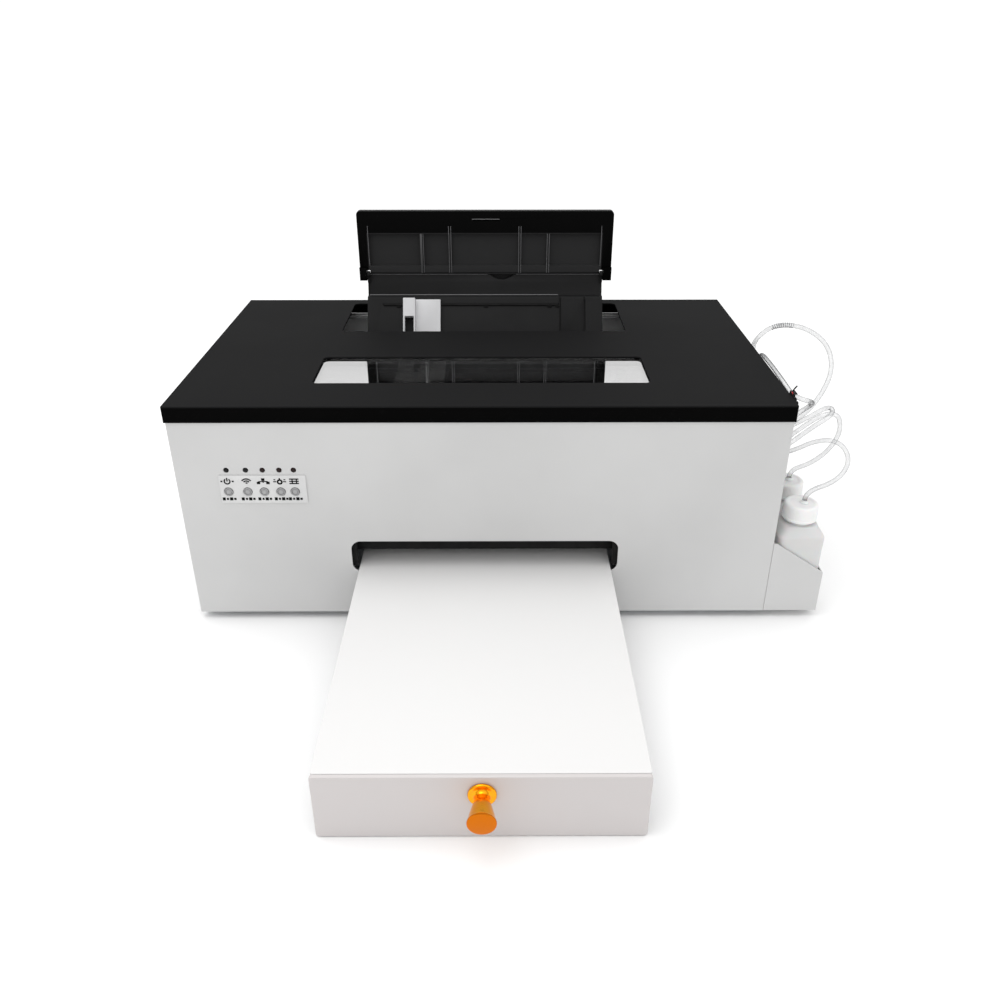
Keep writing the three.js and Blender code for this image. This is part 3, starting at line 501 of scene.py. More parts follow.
# ---- Surfaces ------------------------------------------------------------------------------------------
def make_piece(name, points, faces, body, slot, material=None, sharp=35):
    """A mesh object from an array of points and a list of faces, riding on a body."""
    data = bpy.data.meshes.new(name)
    data.from_pydata(np.asarray(points).reshape(-1, 3).tolist(), [], [list(map(int, f)) for f in faces])
    data.update()
    data.shade_smooth()
    data.set_sharp_from_angle(angle=math.radians(sharp))
    data.materials.append(material or SLOTS[slot])
    piece = bpy.data.objects.new(name, data)
    bpy.context.collection.objects.link(piece)
    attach(piece, body)
    return piece


def grid_faces(rows, columns, close_rows=False):
    """Quads over a rows by columns grid whose columns, and if asked its rows, run round in a ring."""
    r = np.arange(rows if close_rows else rows - 1)[:, None]
    c = np.arange(columns)[None, :]
    nr, nc = (r + 1) % rows, (c + 1) % columns
    quads = np.stack([r * columns + c, r * columns + nc, nr * columns + nc, nr * columns + c], -1)
    return quads.reshape(-1, 4).tolist()


def capped(points):
    """Faces for rings of points from one end to the other, with a flat cap on each end."""
    rows, columns = points.shape[:2]
    faces = grid_faces(rows, columns)
    faces.append(list(range(columns))[::-1])
    faces.append(list(range((rows - 1) * columns, rows * columns)))
    return faces


def outward(piece):
    """Turns the faces of a closed piece to point out."""
    mesh = bmesh.new()
    mesh.from_mesh(piece.data)
    bmesh.ops.remove_doubles(mesh, verts=mesh.verts, dist=1e-7)
    bmesh.ops.recalc_face_normals(mesh, faces=mesh.faces)
    mesh.to_mesh(piece.data)
    mesh.free()
    return piece


AXES = {"x": np.array([[0, 1, 0], [0, 0, 1], [1, 0, 0.0]]),
        "y": np.array([[1, 0, 0], [0, 0, 1], [0, -1, 0.0]]),
        "z": np.array([[1, 0, 0], [0, 1, 0], [0, 0, 1.0]])}


def turned_points(centre, axis, profile, around=64, wave=None):
    """Rings about an axis through centre: radius and distance come from the profile's two columns.

    wave(angle, distance) is a factor on the radius, for knurls and ribs.
    """
    profile = np.asarray(profile, float)
    angle = np.linspace(0, TAU, around, endpoint=False)[None, :]
    radius, along = profile[:, :1], profile[:, 1:]
    reach = radius * (wave(angle, along) if wave else 1.0)
    local = np.stack([reach * np.cos(angle), reach * np.sin(angle), along + 0 * angle], -1)
    basis = AXES[axis].copy()
    if axis == "y":
        local[..., 2] *= -1
    return local @ basis + np.asarray(centre)


def turned_piece(name, centre, axis, profile, body, slot, material=None, around=64, wave=None, sharp=35):
    points = turned_points(centre, axis, profile, around, wave)
    return outward(make_piece(name, points, capped(points), body, slot, material, sharp))


def smooth_path(points, per_span=10):
    """Centripetal Catmull-Rom curve through the points, with its ends mirrored."""
    p = np.asarray(points, float)
    p = np.vstack([2 * p[0] - p[1], p, 2 * p[-1] - p[-2]])
    out = []
    for a, b, c, d in zip(p, p[1:], p[2:], p[3:]):
        t1, t2, t3 = (max(np.linalg.norm(e - s), 1e-9) ** 0.5 for s, e in ((a, b), (b, c), (c, d)))
        start = ((b - a) / t1 - (c - a) / (t1 + t2) + (c - b) / t2) * t2
        end = ((c - b) / t2 - (d - b) / (t2 + t3) + (d - c) / t3) * t2
        t = np.linspace(0, 1, per_span, endpoint=False)[:, None]
        second = 3 * (c - b) - 2 * start - end
        third = 2 * (b - c) + start + end
        out.append(b + start * t + second * t ** 2 + third * t ** 3)
    return np.vstack([*out, p[-2:-1]])


def frames_along(path):
    """Unit tangents, and two normals carried along the path with as little twist as it allows."""
    tangent = np.gradient(path, axis=0)
    tangent /= np.linalg.norm(tangent, axis=1, keepdims=True)
    first = np.cross(tangent[0], [0.0, 0.0, 1.0])
    if np.linalg.norm(first) < 1e-3:
        first = np.cross(tangent[0], [0.0, 1.0, 0.0])
    normals = [first / np.linalg.norm(first)]
    for t in tangent[1:]:
        n = normals[-1] - t * np.dot(normals[-1], t)
        normals.append(n / np.linalg.norm(n))
    normal = np.array(normals)
    return tangent, normal, np.cross(tangent, normal)


def tube_points(path, radius, around=16):
    """Circles of one radius about each point of a path, square to it."""
    _, normal, side = frames_along(path)
    angle = np.linspace(0, TAU, around, endpoint=False)
    ring = np.cos(angle)[None, :, None] * normal[:, None] + np.sin(angle)[None, :, None] * side[:, None]
    return path[:, None] + ring * np.asarray(radius).reshape(-1, 1, 1)


def joined(name, parts, body, slot, material=None, sharp=35):
    """One mesh from several (points, faces) shells."""
    points, faces, start = [], [], 0
    for part_points, part_faces in parts:
        flat = np.asarray(part_points).reshape(-1, 3)
        faces.extend([[i + start for i in face] for face in part_faces])
        points.append(flat)
        start += len(flat)
    return outward(make_piece(name, np.vstack(points), faces, body, slot, material, sharp))


def block(low, high, round_by=0.0006):
    """A box whose edges are rounded by one step, as rings from bottom to top."""
    low, high = np.asarray(low, float), np.asarray(high, float)
    r = min(round_by, *((high - low) / 2.5))
    corner = np.linspace(0, TAU, 16, endpoint=False) + TAU / 32
    square = np.stack([np.sign(np.cos(corner)), np.sign(np.sin(corner))], -1)
    bend = np.stack([np.cos(corner), np.sin(corner)], -1)
    half = (high - low)[:2] / 2
    mid = (low + high)[:2] / 2
    rings = []
    for inset, height in ((r, low[2]), (r * 0.3, low[2] + r * 0.3), (0, low[2] + r),
                          (0, high[2] - r), (r * 0.3, high[2] - r * 0.3), (r, high[2])):
        flat = mid + square * (half - r) + bend * (r - inset)
        rings.append(np.column_stack([flat, np.full(len(flat), height)]))
    points = np.array(rings)
    return points, capped(points)


def rounded_copy(node, width, material=None):
    """A copy of a CAD node with its edges eased, standing for it."""
    source = node_object(node)
    data = source.data.copy()
    data.name = f"{node}_eased"
    mesh = bmesh.new()
    mesh.from_mesh(data)
    bmesh.ops.remove_doubles(mesh, verts=mesh.verts, dist=2e-6)
    bmesh.ops.dissolve_limit(mesh, angle_limit=math.radians(1), verts=mesh.verts, edges=mesh.edges)
    mesh.to_mesh(data)
    mesh.free()
    data.materials.clear()
    data.materials.append(material or SLOTS[NODE_SLOT[node]])
    data.shade_smooth()
    data.set_sharp_from_angle(angle=math.radians(40))
    piece = bpy.data.objects.new(data.name, data)
    bpy.context.collection.objects.link(piece)
    bevel = piece.modifiers.new("eased_edges", "BEVEL")
    bevel.width = width
    bevel.segments = 2
    bevel.limit_method = "ANGLE"
    bevel.angle_limit = math.radians(35)
    bevel.harden_normals = True
    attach(piece, frame_body(node))
    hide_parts(node)
    return piece


def frame_body(node):
    return node_object(node)["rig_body"]


# ---- Tubes ---------------------------------------------------------------------------------------------
OUTLET_FACE = (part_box("tube_outlet")[1][0] - CASE_ORIGIN[0]) / MM + 0.3
CAP_TOP = (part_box("cap_front")[1][2] - CASE_ORIGIN[2]) / MM + 0.3
TUBES = {
    "tube_loop": (4.4, [
        (OUTLET_FACE, 164, 158), (276.5, 164, 158), (280.6, 164.4, 159), (284, 165.4, 162),
        (285.4, 166.8, 167.5), (284.4, 168.4, 176), (281.4, 169.8, 187), (277.8, 169.8, 198),
        (275.6, 168, 208), (276.2, 163.5, 216.5), (280, 160, 224), (285.6, 158, 229.6),
        (291.6, 156, 233), (299, 151.5, 235.6), (308, 146, 236.2), (316, 141, 235),
        (324.6, 134.5, 231.4), (331.4, 127.5, 225.8), (335.5, 121, 218.8), (336.9, 115, 211),
        (335.4, 108, 202.5), (331.2, 101.5, 193.5), (325.8, 97.5, 184), (319.4, 95, 174.5),
        (311.8, 94, 165.5), (303.5, 94, 157), (295.5, 94, 149.5), (287.5, 94, 144.7), (279.5, 94, 143),
        (OUTLET_FACE, 94, 143)]),
    "tube_rim": (4.2, [
        (OUTLET_FACE, 150, 172), (276.5, 150, 172), (280.5, 150, 172.8), (284, 150, 175.4),
        (286, 149.6, 179.4), (286, 149.2, 184), (284.6, 148.6, 190), (281.2, 147.4, 197),
        (277.8, 144.6, 203.6), (275.6, 139, 208.8), (274.9, 130, 211.8), (274.9, 117, 212.5),
        (275, 100, 212.5), (275, 80, 212.2), (275.2, 62, 211.5), (275.6, 48, 210.4), (276, 38, 209.8),
        (278, 30.6, 209.2), (282.6, 25.6, 208.3), (288.6, 25.2, 206.6), (293.4, 29.4, 203.4),
        (295.2, 35.6, 199), (293.8, 41.4, 193.6), (290.2, 46, 188), (285.4, 49, 183.6),
        (279.5, 50, 181), (OUTLET_FACE, 50, 180.5)]),
    "tube_hairpin": (4.2, [
        (OUTLET_FACE, 74, 154), (278, 74, 154), (284, 73.2, 156.4), (291, 71, 161.6), (299, 68, 168.2),
        (307, 65.4, 174.7), (315, 64, 181), (318.6, 62.8, 183.8), (321.2, 59.5, 185.8),
        (322.1, 55, 186.5), (321.2, 50.5, 185.8), (318.6, 47.2, 183.8), (315, 46, 181),
        (307, 46, 174.8), (299, 45.6, 168.4), (291, 45, 161.8), (284, 44.3, 156.4), (278, 44, 154),
        (OUTLET_FACE, 44, 154)]),
    "tube_rear_bottle": (4.2, [
        (OUTLET_FACE, 80, 132), (278, 80, 132), (283.5, 79.7, 135), (290, 78.5, 142.5),
        (298, 76.5, 152), (307, 75, 161), (315, 74, 168), (323, 73, 173), (330.5, 72, 174.5),
        (336, 71, 171.5), (338.6, 70, 164.5), (338.6, 69, 156.5), (336, 68.5, 147.5), (331, 69, 138),
        (324, 70, 129.5), (316, 71, 123), (308.5, 71, 119.5), (303.5, 71, 117), (300.6, 71, 113.6),
        (299.5, 71, 110), (299.5, 71, CAP_TOP)]),
    "tube_front_bottle": (4.2, [
        (OUTLET_FACE, 92, 118), (278, 92, 118), (284, 91, 119.5), (291.5, 87, 125), (300, 80.5, 132),
        (306.5, 75, 138.3), (313.5, 70, 145), (321.5, 64, 150.5), (329.5, 58, 153), (336.5, 52, 151),
        (341, 47, 145), (341.7, 43, 138), (338, 39, 130.5), (330.5, 35.3, 124), (321, 31.5, 120.5),
        (312, 28, 119), (305.7, 25.5, 117), (301.8, 24.2, 113.8), (300.4, 24, 110),
        (300.4, 24, CAP_TOP)]),
}


def make_tubes():
    """Each tube is drawn through its route, with a bushing where it leaves the case."""
    bushings = []
    for node, (diameter, route) in TUBES.items():
        path = smooth_path([case(*point) for point in route], 8)
        radius = diameter * MM / 2
        points = tube_points(path, radius, 24)
        name = f"{node}_clear"
        piece = outward(make_piece(name, points, capped(points), "case", "clear_tube", sharp=70))
        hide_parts(node)
        diameter * MM
        ends = [route[0]] if route[-1][0] != OUTLET_FACE else [route[0], route[-1]]
        for end in ends:
            base = case(OUTLET_FACE - 0.2, end[1], end[2])
            collar = np.array([[0, 0], [2.6, 0], [2.4, 1.2], [0.9, 2.6], [0, 2.8]]) * MM
            profile = collar + [radius + 0.1 * MM, 0]
            rings = turned_points(base, "x", profile, 28)
            bushings.append((rings, grid_faces(len(profile), 28, close_rows=True)))
    joined("tube_bushings", bushings, "case", "rubber")


def make_spiral_wrap():
    """A flat band wound around the rising part of the loop.

    Its middle line is the tube's path plus a circle that turns once for each 2 mm of way; the band's
    section is a small rectangle across that line.
    """
    path = smooth_path([case(*point) for point in TUBES["tube_loop"][1]], 40)
    way = np.concatenate([[0], np.cumsum(np.linalg.norm(np.diff(path, axis=0), axis=1))])
    quarter, half = len(path) // 2 // 2, len(path) // 2
    first, last = (np.interp(case(x, 0, 0)[0], path[quarter:half, 0], way[quarter:half]) for x in (288, 306))
    along = np.linspace(first, last, 900)
    core = np.column_stack([np.interp(along, way, path[:, k]) for k in range(3)])
    tangent, normal, side = frames_along(core)
    pitch = 2.0 * MM
    turn = (along - first) / pitch * TAU
    out = np.cos(turn)[:, None] * normal + np.sin(turn)[:, None] * side
    radius = TUBES["tube_loop"][0] * MM / 2
    corners = [(-0.3, 0.02), (0.3, 0.02), (0.3, 0.3), (-0.3, 0.3)]
    lines = [core + out * (radius + lift * MM) + tangent * shift * MM for shift, lift in corners]
    points = np.stack(lines, 1)
    wrap = make_piece("spiral_wrap", points, capped(points), "case", "clear_tube", EXTRA["wrap"], 60)
    outward(wrap)


def make_cable_tie():
    """The head and tail of a cable tie on the clip, with the cut ends of a red and a black wire in it."""
    parts = [block(case(271.7, 21.2, 205.0), case(274.6, 25.6, 214.6)),
             block(case(273.4, 20.4, 203.4), case(278.2, 24.6, 207.4)),
             block(case(273.0, 20.8, 206.8), case(276.4, 25.0, 210.8))]
    joined("cable_tie", parts, "case", "black_plastic", EXTRA["deep_black"])
    ends = {"wire_end_red": [(273.4, 23.0, 211.0), (272.6, 22.6, 214.2), (271.4, 22.0, 216.4)],
            "wire_end_black": [(273.2, 22.8, 212.0), (272.2, 22.2, 217.6), (274.6, 21.4, 222.4)]}
    for name, route in ends.items():
        path = smooth_path([case(*point) for point in route], 8)
        points = tube_points(path, 0.65 * MM, 12)
        material = EXTRA["red_wire"] if name.endswith("red") else EXTRA["deep_black"]
        outward(make_piece(name, points, capped(points), "case", "black_plastic", material))


def make_slot_shade():
    """A near-black sheet behind the slot, down to 13 mm above the bed, and past its sides: painted shade for
    the dark inside of the slot.
    """
    parts = [block(case(-132, 12, 63.1), case(138, 13.5, 88)),
             block(case(-132, 3.0, 50.9), case(-115.4, 4.2, 88)),
             block(case(121.4, 3.0, 50.9), case(138, 4.2, 88))]
    joined("slot_shade_sheet", parts, "case", "black_plastic", EXTRA["deep_black"])


def make_window_fittings():
    """Light grey plates under the lid's window pane, seen through it: a plate with a notch, small frames, a
    white wire.
    """
    top = (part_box("window_pane")[0][2] - CASE_ORIGIN[2]) / MM - 0.4

    def plate(x0, y0, x1, y1):
        return block(case(x0, y0, top - 2), case(x1, y1, top))

    cover = [plate(-80.6, 58, -60, 96), plate(-60, 52, -35, 126), plate(-80.6, 104, -66, 120)]
    frames = [plate(x, 52, x + 1.2, 126) for x in (-118, -30, 62, 112)]
    frames += [plate(74, 78, 104, 80), plate(40, 100, 66, 102), plate(-112, 96, -86, 98)]
    joined("window_cover", cover, "lid", "grey_plastic", EXTRA["window_grey"])
    joined("window_frames", frames, "lid", "grey_plastic", EXTRA["button_grey"])
    route = [(-26, 88), (-18, 84), (-8, 76), (0, 62), (5, 54)]
    path = smooth_path([case(x, y, top - 1) for x, y in route], 10)
    points = tube_points(path, 0.7 * MM, 12)
    outward(make_piece("window_wire", points, capped(points), "lid", "grey_plastic", EXTRA["white_cap"]))


# ---- Main panels ---------------------------------------------------------------------------------------
EASED_FINISH = {"support_flap": "flap", "bed_apron": "apron"}
EASED = {
    "front_panel": 0.35, "left_side_panel": 0.35, "right_side_panel": 0.35, "rear_panel": 0.35,
    "lid_cover": 0.8, "bed_plate": 0.45, "bed_apron": 0.6, "bottle_pocket": 0.4, "label_plate": 0.15,
    "feeder_frame": 0.5, "support_flap": 0.5, "edge_guide": 0.5, "tube_clip": 0.3, "uv_lamp": 0.8,
    "print_carriage": 1.2, "feed_motor": 1.2, "power_inlet": 0.5,
    "side_frame_left": 0.3, "side_frame_right": 0.3,
    "tube_outlet": 0.6, "base_plate": 0.3,
}


def ease_nodes():
    for node, width in EASED.items():
        rounded_copy(node, width * MM, material=EXTRA.get(EASED_FINISH.get(node)))


# ---- Bed knob ------------------------------------------------------------------------------------------
def make_knob():
    """Turned about the line y: a dished flange, a narrow waist and a horn that flares to the flat end.

    Between waist and grip the radius rises with the power 0.8 of the distance.
    """
    low, high = (np.array(corner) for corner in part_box("bed_knob"))
    centre = [(low[0] + high[0]) / 2, high[1], (low[2] + high[2]) / 2]
    length = (high[1] - low[1]) / MM
    t = np.linspace(0, 1, 18)
    waist, flare, foot, rim = 5.0, 5.0, 6.2, 1.4
    horn = np.column_stack([waist + flare * t ** 0.8, foot + (length - foot - rim) * t])
    root = [[0.5, 0], [9.6, 0], [10.1, 0.4], [10.2, 1.0], [10.0, 1.9], [9.3, 2.4], [8.4, 2.3], [7.2, 2.0],
            [6.2, 2.3], [5.3, 3.4], [waist, 4.6]]
    end = [[10.2, length - 1.1], [10.1, length - 0.5], [9.4, length - 0.1], [9.0, length], [0.5, length]]
    profile = np.vstack([root, horn, end]) * MM
    profile[:, 1] *= -1
    knob = turned_piece("knob_turned", centre, "y", profile, "bed", "gold_anodised", around=96, sharp=50)
    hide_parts("bed_knob")


# ---- Bottles -------------------------------------------------------------------------------------------
def rounded_square(centre, neck_x, rows, around=72):
    """Rings of a superellipse |x|^n + |y|^n = half^n, one for each (half width, n, height) row, in mm.

    From NECK_START up the rings are centred on neck_x.
    """
    t = (np.linspace(0, TAU, around, endpoint=False) + TAU / around / 2)[None, :]
    half, power, height = (np.array(column)[:, None] for column in zip(*rows))
    cos, sin = np.cos(t), np.sin(t)
    x = half * np.sign(cos) * np.abs(cos) ** (2 / power)
    y = half * np.sign(sin) * np.abs(sin) ** (2 / power)
    centre_x = np.where(height > NECK_START, neck_x, centre[0])
    return CASE_ORIGIN + np.stack([x + centre_x, y + centre[1], height + 0 * t], -1) * MM


BOTTLE_X = 297.2
BOTTLE_ROWS = [
    (17.0, 5, 2.6), (19.5, 5, 2.3), (21.0, 6, 3.0), (21.8, 7, 4.8), (21.9, 7, 8), (21.7, 7, 24),
    (21.6, 7, 45), (21.7, 7, 66), (21.9, 7.5, 76.5), (21.7, 7.5, 78.6), (21.2, 7, 79.7),
    (20.3, 6.5, 80.9), (18.2, 5.5, 83.8), (16.3, 4.6, 86.4), (15.6, 4.0, 87.2), (14.4, 3, 87.8),
    (13.2, 2, 88.1), (12.8, 2, 90.6),
]
CAP_ROWS = [
    [0.5, 0.3], [14.6, 0.3], [14.8, 0], [15.9, 0.1], [16.1, 0.6], [16.1, 2.2], [15.7, 2.6], [15.75, 3.2],
    [15.7, 7], [15.6, 11], [15.5, 13.2], [15.1, 14.4], [14.2, 15.1], [13.0, 15.4], [11.5, 15.3],
    [10.8, 14.9], [10.0, 14.7], [0.5, 14.7],
]


def make_bottles():
    """Blown bottles, rounded squares that close in to a round neck, each with a screw cap and a grommet."""
    cap_x = (middle("cap_front")[0] - CASE_ORIGIN[0]) / MM
    for place in ("front", "rear"):
        y = (middle(f"bottle_{place}")[1] - CASE_ORIGIN[1]) / MM
        points = rounded_square((BOTTLE_X, y), cap_x, BOTTLE_ROWS)
        name = f"bottle_{place}_blown"
        bottle = outward(make_piece(name, points, capped(points), "case", "bottle_plastic", sharp=60))
        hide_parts(f"bottle_{place}")
        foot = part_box(f"cap_{place}")[0][2]
        base = np.array([case(cap_x, 0, 0)[0], case(0, y, 0)[1], foot])

        def knurl(angle, along):
            gripped = (along > 3.1 * MM) & (along < 13 * MM)
            return 1 + 0.006 * gripped * np.cos(72 * angle)

        cap = turned_piece(f"cap_{place}_knurled", base, "z", np.array(CAP_ROWS) * MM, "case",
                           "bottle_plastic", EXTRA["white_cap"], 288, knurl)
        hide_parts(f"cap_{place}")
        tube_x = TUBES[f"tube_{place}_bottle"][1][-1][0]
        profile = [[2.25, 0], [4.2, 0], [4.3, 0.5], [3.6, 1.1], [3.0, 1.4], [2.7, 2.6], [2.25, 2.7]]
        rings = turned_points(case(tube_x, y, CAP_TOP - 1.0), "z", np.array(profile) * MM, 32)
        joined(f"cap_{place}_grommet", [(rings, grid_faces(len(profile), 32, close_rows=True))], "case",
               "bottle_plastic", EXTRA["white_cap"])


# ---- Control strip -------------------------------------------------------------------------------------
BUTTONS = ("power", "wireless", "network", "clean", "feed")
LAMP_X = (-224.4, -207.3, -192.5, -177.8, -165.1)
LAMP_Z = 152.4


def make_buttons():
    """Each button is a low dome inside a raised ring, turned about y."""
    depth = 6.0
    side = [[0.05, -1.75], [1.0, -1.72], [1.9, -1.55], [2.45, -1.2], [2.55, -0.75], [2.75, -0.7],
            [2.85, -1.5], [3.1, -1.75], [3.5, -1.7], [3.65, -1.4], [3.7, -1.0], [3.7, 2.0], [4.9, 2.0],
            [5.0, 2.9], [2.0, 3.0], [2.0, depth], [0.05, depth]]
    for name in BUTTONS:
        node = f"button_{name}"
        low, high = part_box(node)
        centre = [(low[0] + high[0]) / 2, high[1] - depth * MM, (low[2] + high[2]) / 2]
        button = turned_piece(f"{node}_domed", centre, "y", np.array(side) * MM, f"{name}_button",
                              "grey_plastic", EXTRA["button_grey"], 48, sharp=40)
        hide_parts(node)


def make_lamps():
    """Five lamp lenses: domes that stand in the panel's holes."""
    for k, x in enumerate(LAMP_X):
        t = np.linspace(0, math.pi / 2, 8)
        dome = np.column_stack([2.2 * np.sin(t) + 0.02, 0.35 - 0.9 * np.cos(t)])
        profile = np.vstack([dome, [[2.2, 5.0], [0.05, 5.0]]]) * MM
        material = EXTRA["lamp_red" if k > 1 else "lamp_dark"]
        turned_piece(f"lamp_{BUTTONS[k]}", case(x, 0, LAMP_Z), "y", profile, "case", "black_plastic",
                     material, 32)


def ring_points(centre, radius, width, depth, start, end):
    """A flat arc in the plane of the front: its spine is a circle, its section a small rectangle."""
    angle = np.linspace(start, end, 28)
    out = np.stack([np.cos(angle), 0 * angle, np.sin(angle)], -1)
    corners = [(-width / 2, 0), (width / 2, 0), (width / 2, -depth), (-width / 2, -depth)]
    spine = np.asarray(centre)
    back = np.array([0, 1, 0])
    points = np.stack([spine + (out * (radius + a) + back * b) * MM for a, b in corners], 1)
    return points, capped(points)


def make_signs():
    """Plain signs on the label above and below the buttons: shapes only, no writing."""
    face = (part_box("label_plate")[0][1] - CASE_ORIGIN[1]) / MM - 0.02
    depth = 0.12
    parts = []

    def bar(x, z, wide, tall):
        low = case(x - wide / 2, face - depth, z - tall / 2)
        high = case(x + wide / 2, face, z + tall / 2)
        parts.append(block(low, high, 0.02 * MM))

    def arc(x, z, radius, start, end, width):
        parts.append(ring_points(case(x, face, z), radius, width, depth, start, end))

    top, low = 141.8, 124.2
    for k, node in enumerate(BUTTONS):
        x = (middle(f"button_{node}")[0] - CASE_ORIGIN[0]) / MM
        if k == 0:
            arc(x, top, 2.5, math.radians(125), math.radians(415), 1.2)
            bar(x, top + 1.7, 1.2, 3.4)
            bar(x - 5.0, top, 1.8, 1.4)
            bar(x + 5.0, top, 1.8, 1.4)
        if k == 1:
            for radius in (1.0, 3.0, 5.0):
                arc(x, top - 2.6, radius, math.radians(38), math.radians(142), 1.2)
        if k == 2:
            for dx, dz in ((-4.2, -1.6), (0, 1.8), (4.2, -1.6)):
                bar(x + dx, top + dz, 3.0, 2.4)
            bar(x, top - 0.2, 8.4, 0.9)
            bar(x, top, 0.9, 3.0)
        if k == 3:
            arc(x, top - 0.6, 1.9, 0, TAU, 1.5)
            bar(x, top + 2.3, 1.2, 1.8)
            for dx in (-4.4, 4.4):
                bar(x + dx, top - 0.4, 2.6, 1.0)
                bar(x + dx, top + 1.6, 1.6, 1.0)
        if k == 4:
            for dz in (-2.2, 0, 2.2):
                bar(x, top + dz, 8.4, 1.1)
            bar(x - 1.6, top, 1.0, 5.2)
            bar(x + 2.2, top, 1.0, 5.2)
        for dash, wide in enumerate((2.6, 1.8, 2.9, 2.1)):
            bar(x - 5.0 + 3.3 * dash, low, wide, 3.0 - 0.9 * (dash % 2))
    joined("label_signs", parts, "case", "label_plastic", EXTRA["mark_ink"])


# ---- Feeder details ------------------------------------------------------------------------------------
def strip(points, radius=0.45, around=10):
    """A thin round bead laid through points."""
    path = np.array([case(*point) for point in points])
    rings = tube_points(path, radius * MM, around)
    return rings, capped(rings)


def on_slope(x, up, out):
    """A point on the feeder's slope: up along it from its foot, and out square to it."""
    (foot_y, foot_z), (way_y, way_z) = SLOPE_FOOT, SLOPE_UP
    return case(x, foot_y + way_y * up - way_z * out, foot_z + way_z * up + way_y * out)


def make_feeder_trim():
    """Painted highlights as grey beads along edges of the feeder and the flap, and painted shade as
    near-black strips in the seams, groove and gap of the slope.
    """
    # Painted highlights: grey beads along the feeder's ledge, the flap's lower edge and the corners of the
    # lid's opening.
    beads = [strip([(-126.5, 277.0, 231.1), (82.5, 277.0, 231.1)], 0.55),
             strip([(-127.4, 284.0, 252.0), (4.5, 284.0, 252.0)], 0.3),
             strip([(36.0, 284.0, 252.0), (130.4, 284.0, 252.0)], 0.3)]
    for x0, x1 in ((-158.0, -129.0), (132.5, 163.0)):
        beads.append(strip([(x0, 297.4, 198.4), (x1, 297.4, 198.4)], 0.5))
    joined("feeder_edges", beads, "case", "black_plastic", EXTRA["highlight_edge"])
    # Painted shade: near-black strips and small blocks in the seams and the groove of the slope.
    seams = [strip([(-110, 265.3, 223.2), (82, 265.3, 223.2)], 1.2),
             strip([(84.0, 269.4, 231.0), (84.0, 248.0, 191.0)], 0.7),
             strip([(110.9, 269.0, 231.0), (110.9, 248.0, 191.0)], 0.7),
             strip([(-126.9, 284.0, 252.6), (-126.9, 277.0, 231.5)], 0.5)]
    for x in (-96, -86, 0, 70, 79):
        seams.append(block(case(x, 263.4, 220.6), case(x + 5, 266.2, 222.6)))
    joined("feeder_seams", seams, "case", "black_plastic", EXTRA["deep_black"])
    # Painted shade: a thin near-black sheet in the gap between the edge guide and the slope.
    outline = ((-86, 20.2), (-76.2, 20.2), (-76.2, 45.6), (-86, 45.6))
    corners = [on_slope(x, up, out) for out in (4.0, 4.35) for x, up in outline]
    gap = np.array(corners).reshape(2, 4, 3)
    joined("guide_gap", [(gap, capped(gap))], "guide", "grey_plastic", EXTRA["deep_black"])
    front = (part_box("support_flap")[0][1] - CASE_ORIGIN[1]) / MM + 4.0
    # Painted highlights: grey lines along the flap's ribs, its handle recess and its two sides.
    ribs = []
    for x, top in ((-66.3, 296.4), (-36.2, 304.6), (39.7, 304.6), (70.5, 296.4)):
        for side in (-1.2, 1.2):
            ribs.append(strip([(x + side, front + 0.6, 254.5), (x + side, front + 0.6, top)], 0.25))
    ribs.append(strip([(-12.0, front - 0.2, 312.0), (17.6, front - 0.2, 312.0)], 0.35))
    for x in (-124.7, 127.9):
        ribs.append(strip([(x, front, 262.0), (x, front, 305.0)], 0.25))
    joined("flap_edges", ribs, "flap", "black_plastic", EXTRA["highlight_edge"])
    # Painted light: one rib's face in a lighter grey than the flap around it.
    rib = block(case(-68.6, front - 0.2, 254.5), case(-66.4, front + 3.8, 296.4), 0.2 * MM)
    joined("flap_rib_face", [rib], "flap", "black_plastic", EXTRA["rib_grey"])


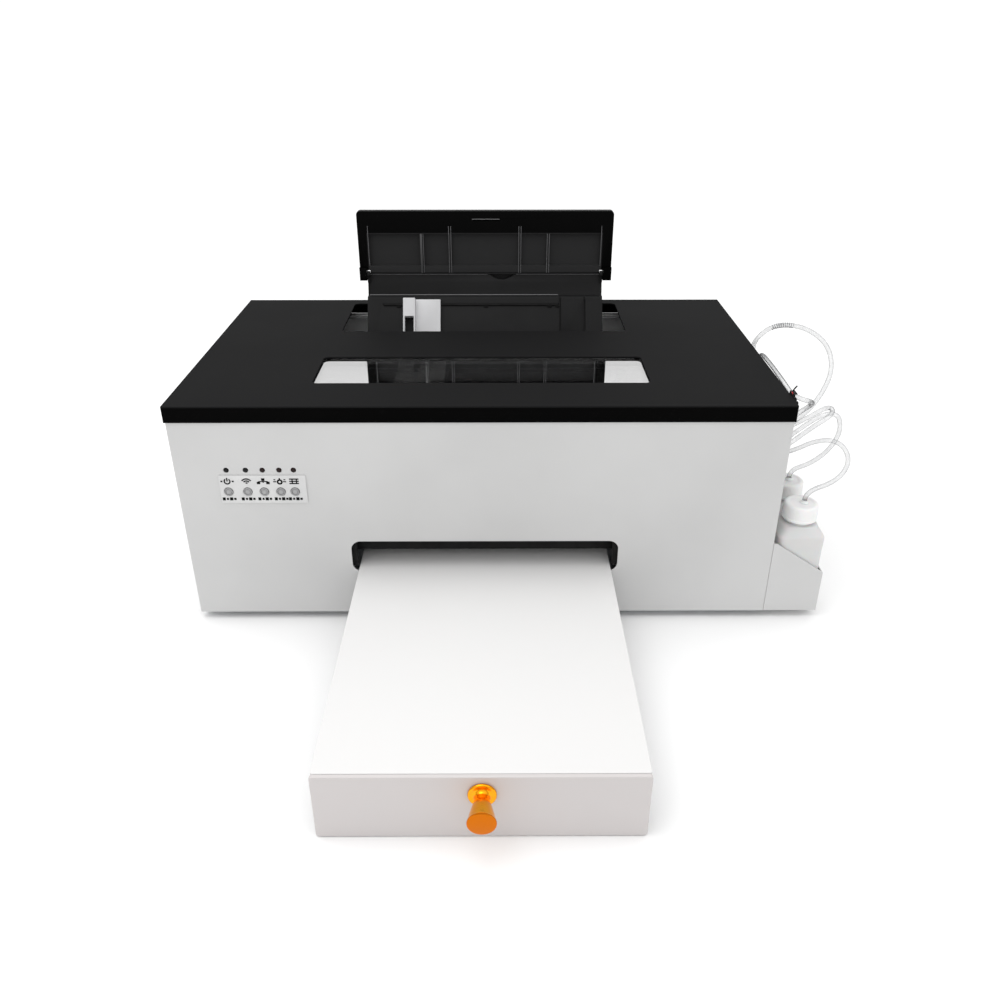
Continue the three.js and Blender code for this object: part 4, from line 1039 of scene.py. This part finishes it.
# ---- Screws --------------------------------------------------------------------------------------------
def screw_points(centre, axis, radius=3.0, height=1.7, flip=1.0):
    """A pan head: a low dome with a four-armed socket, whose inner radius swells with cos 4a."""
    r, h = radius * MM, height * MM * flip
    rows = [(0.02, 0.45), (0.30, 0.45), (0.34, 0.92), (0.5, 0.95), (0.75, 0.84), (0.92, 0.6), (1.0, 0.3),
            (1.0, 0.0), (0.02, 0.0)]
    profile = np.array([[a * r, b * h] for a, b in rows])

    def socket(angle, _):
        arms = np.array([0, 1, 1] + [0] * (len(rows) - 3))[:, None]
        return 1 + 0.55 * arms * np.cos(4 * angle)

    points = turned_points(centre, axis, profile, 48, socket)
    return points, capped(points)


def make_screws():
    """Screws that hold the side walls, the rear wall, the bottle pocket and the hinge."""
    low, mid, high, rear_y = 14, 100, 186, 306
    side = []
    for y, z in ((low, low), (low, mid), (low, high), (rear_y, low), (rear_y, mid), (rear_y, high)):
        side.append(screw_points(case(-CASE_HALF, y, z), "x", flip=-1.0))
    for y, z in ((200, low), (rear_y, low), (rear_y, mid), (rear_y, high), (200, high)):
        side.append(screw_points(case(CASE_HALF, y, z), "x"))
    rear = [screw_points(case(x, 320, z), "y") for x in (-258, -130, 130, 258) for z in (low, high)]
    hinge = [screw_points(case(x, 321.6, 184.5), "y", 2.2, 1.2) for x in (-48, -16, 16, 48)]
    joined("panel_screws", side + rear + hinge, "case", "steel")


# ---- Floor ---------------------------------------------------------------------------------------------
def make_floor():
    """A wide pale card just under the feet."""
    data = bpy.data.meshes.new("floor")
    reach = 400.0
    corners = [(-reach, -reach, 0), (reach, -reach, 0), (reach, reach, 0), (-reach, reach, 0)]
    data.from_pydata(corners, [], [(0, 1, 2, 3)])
    data.materials.append(floor_card())
    floor = bpy.data.objects.new("floor", data)
    bpy.context.collection.objects.link(floor)
    floor.location.z = -0.0002


make_camera()
make_studio()
make_tubes()
make_spiral_wrap()
make_cable_tie()
make_slot_shade()
make_window_fittings()
finish_nodes()
ease_nodes()
make_knob()
make_bottles()
make_buttons()
make_lamps()
make_signs()
make_feeder_trim()
make_screws()
make_floor()
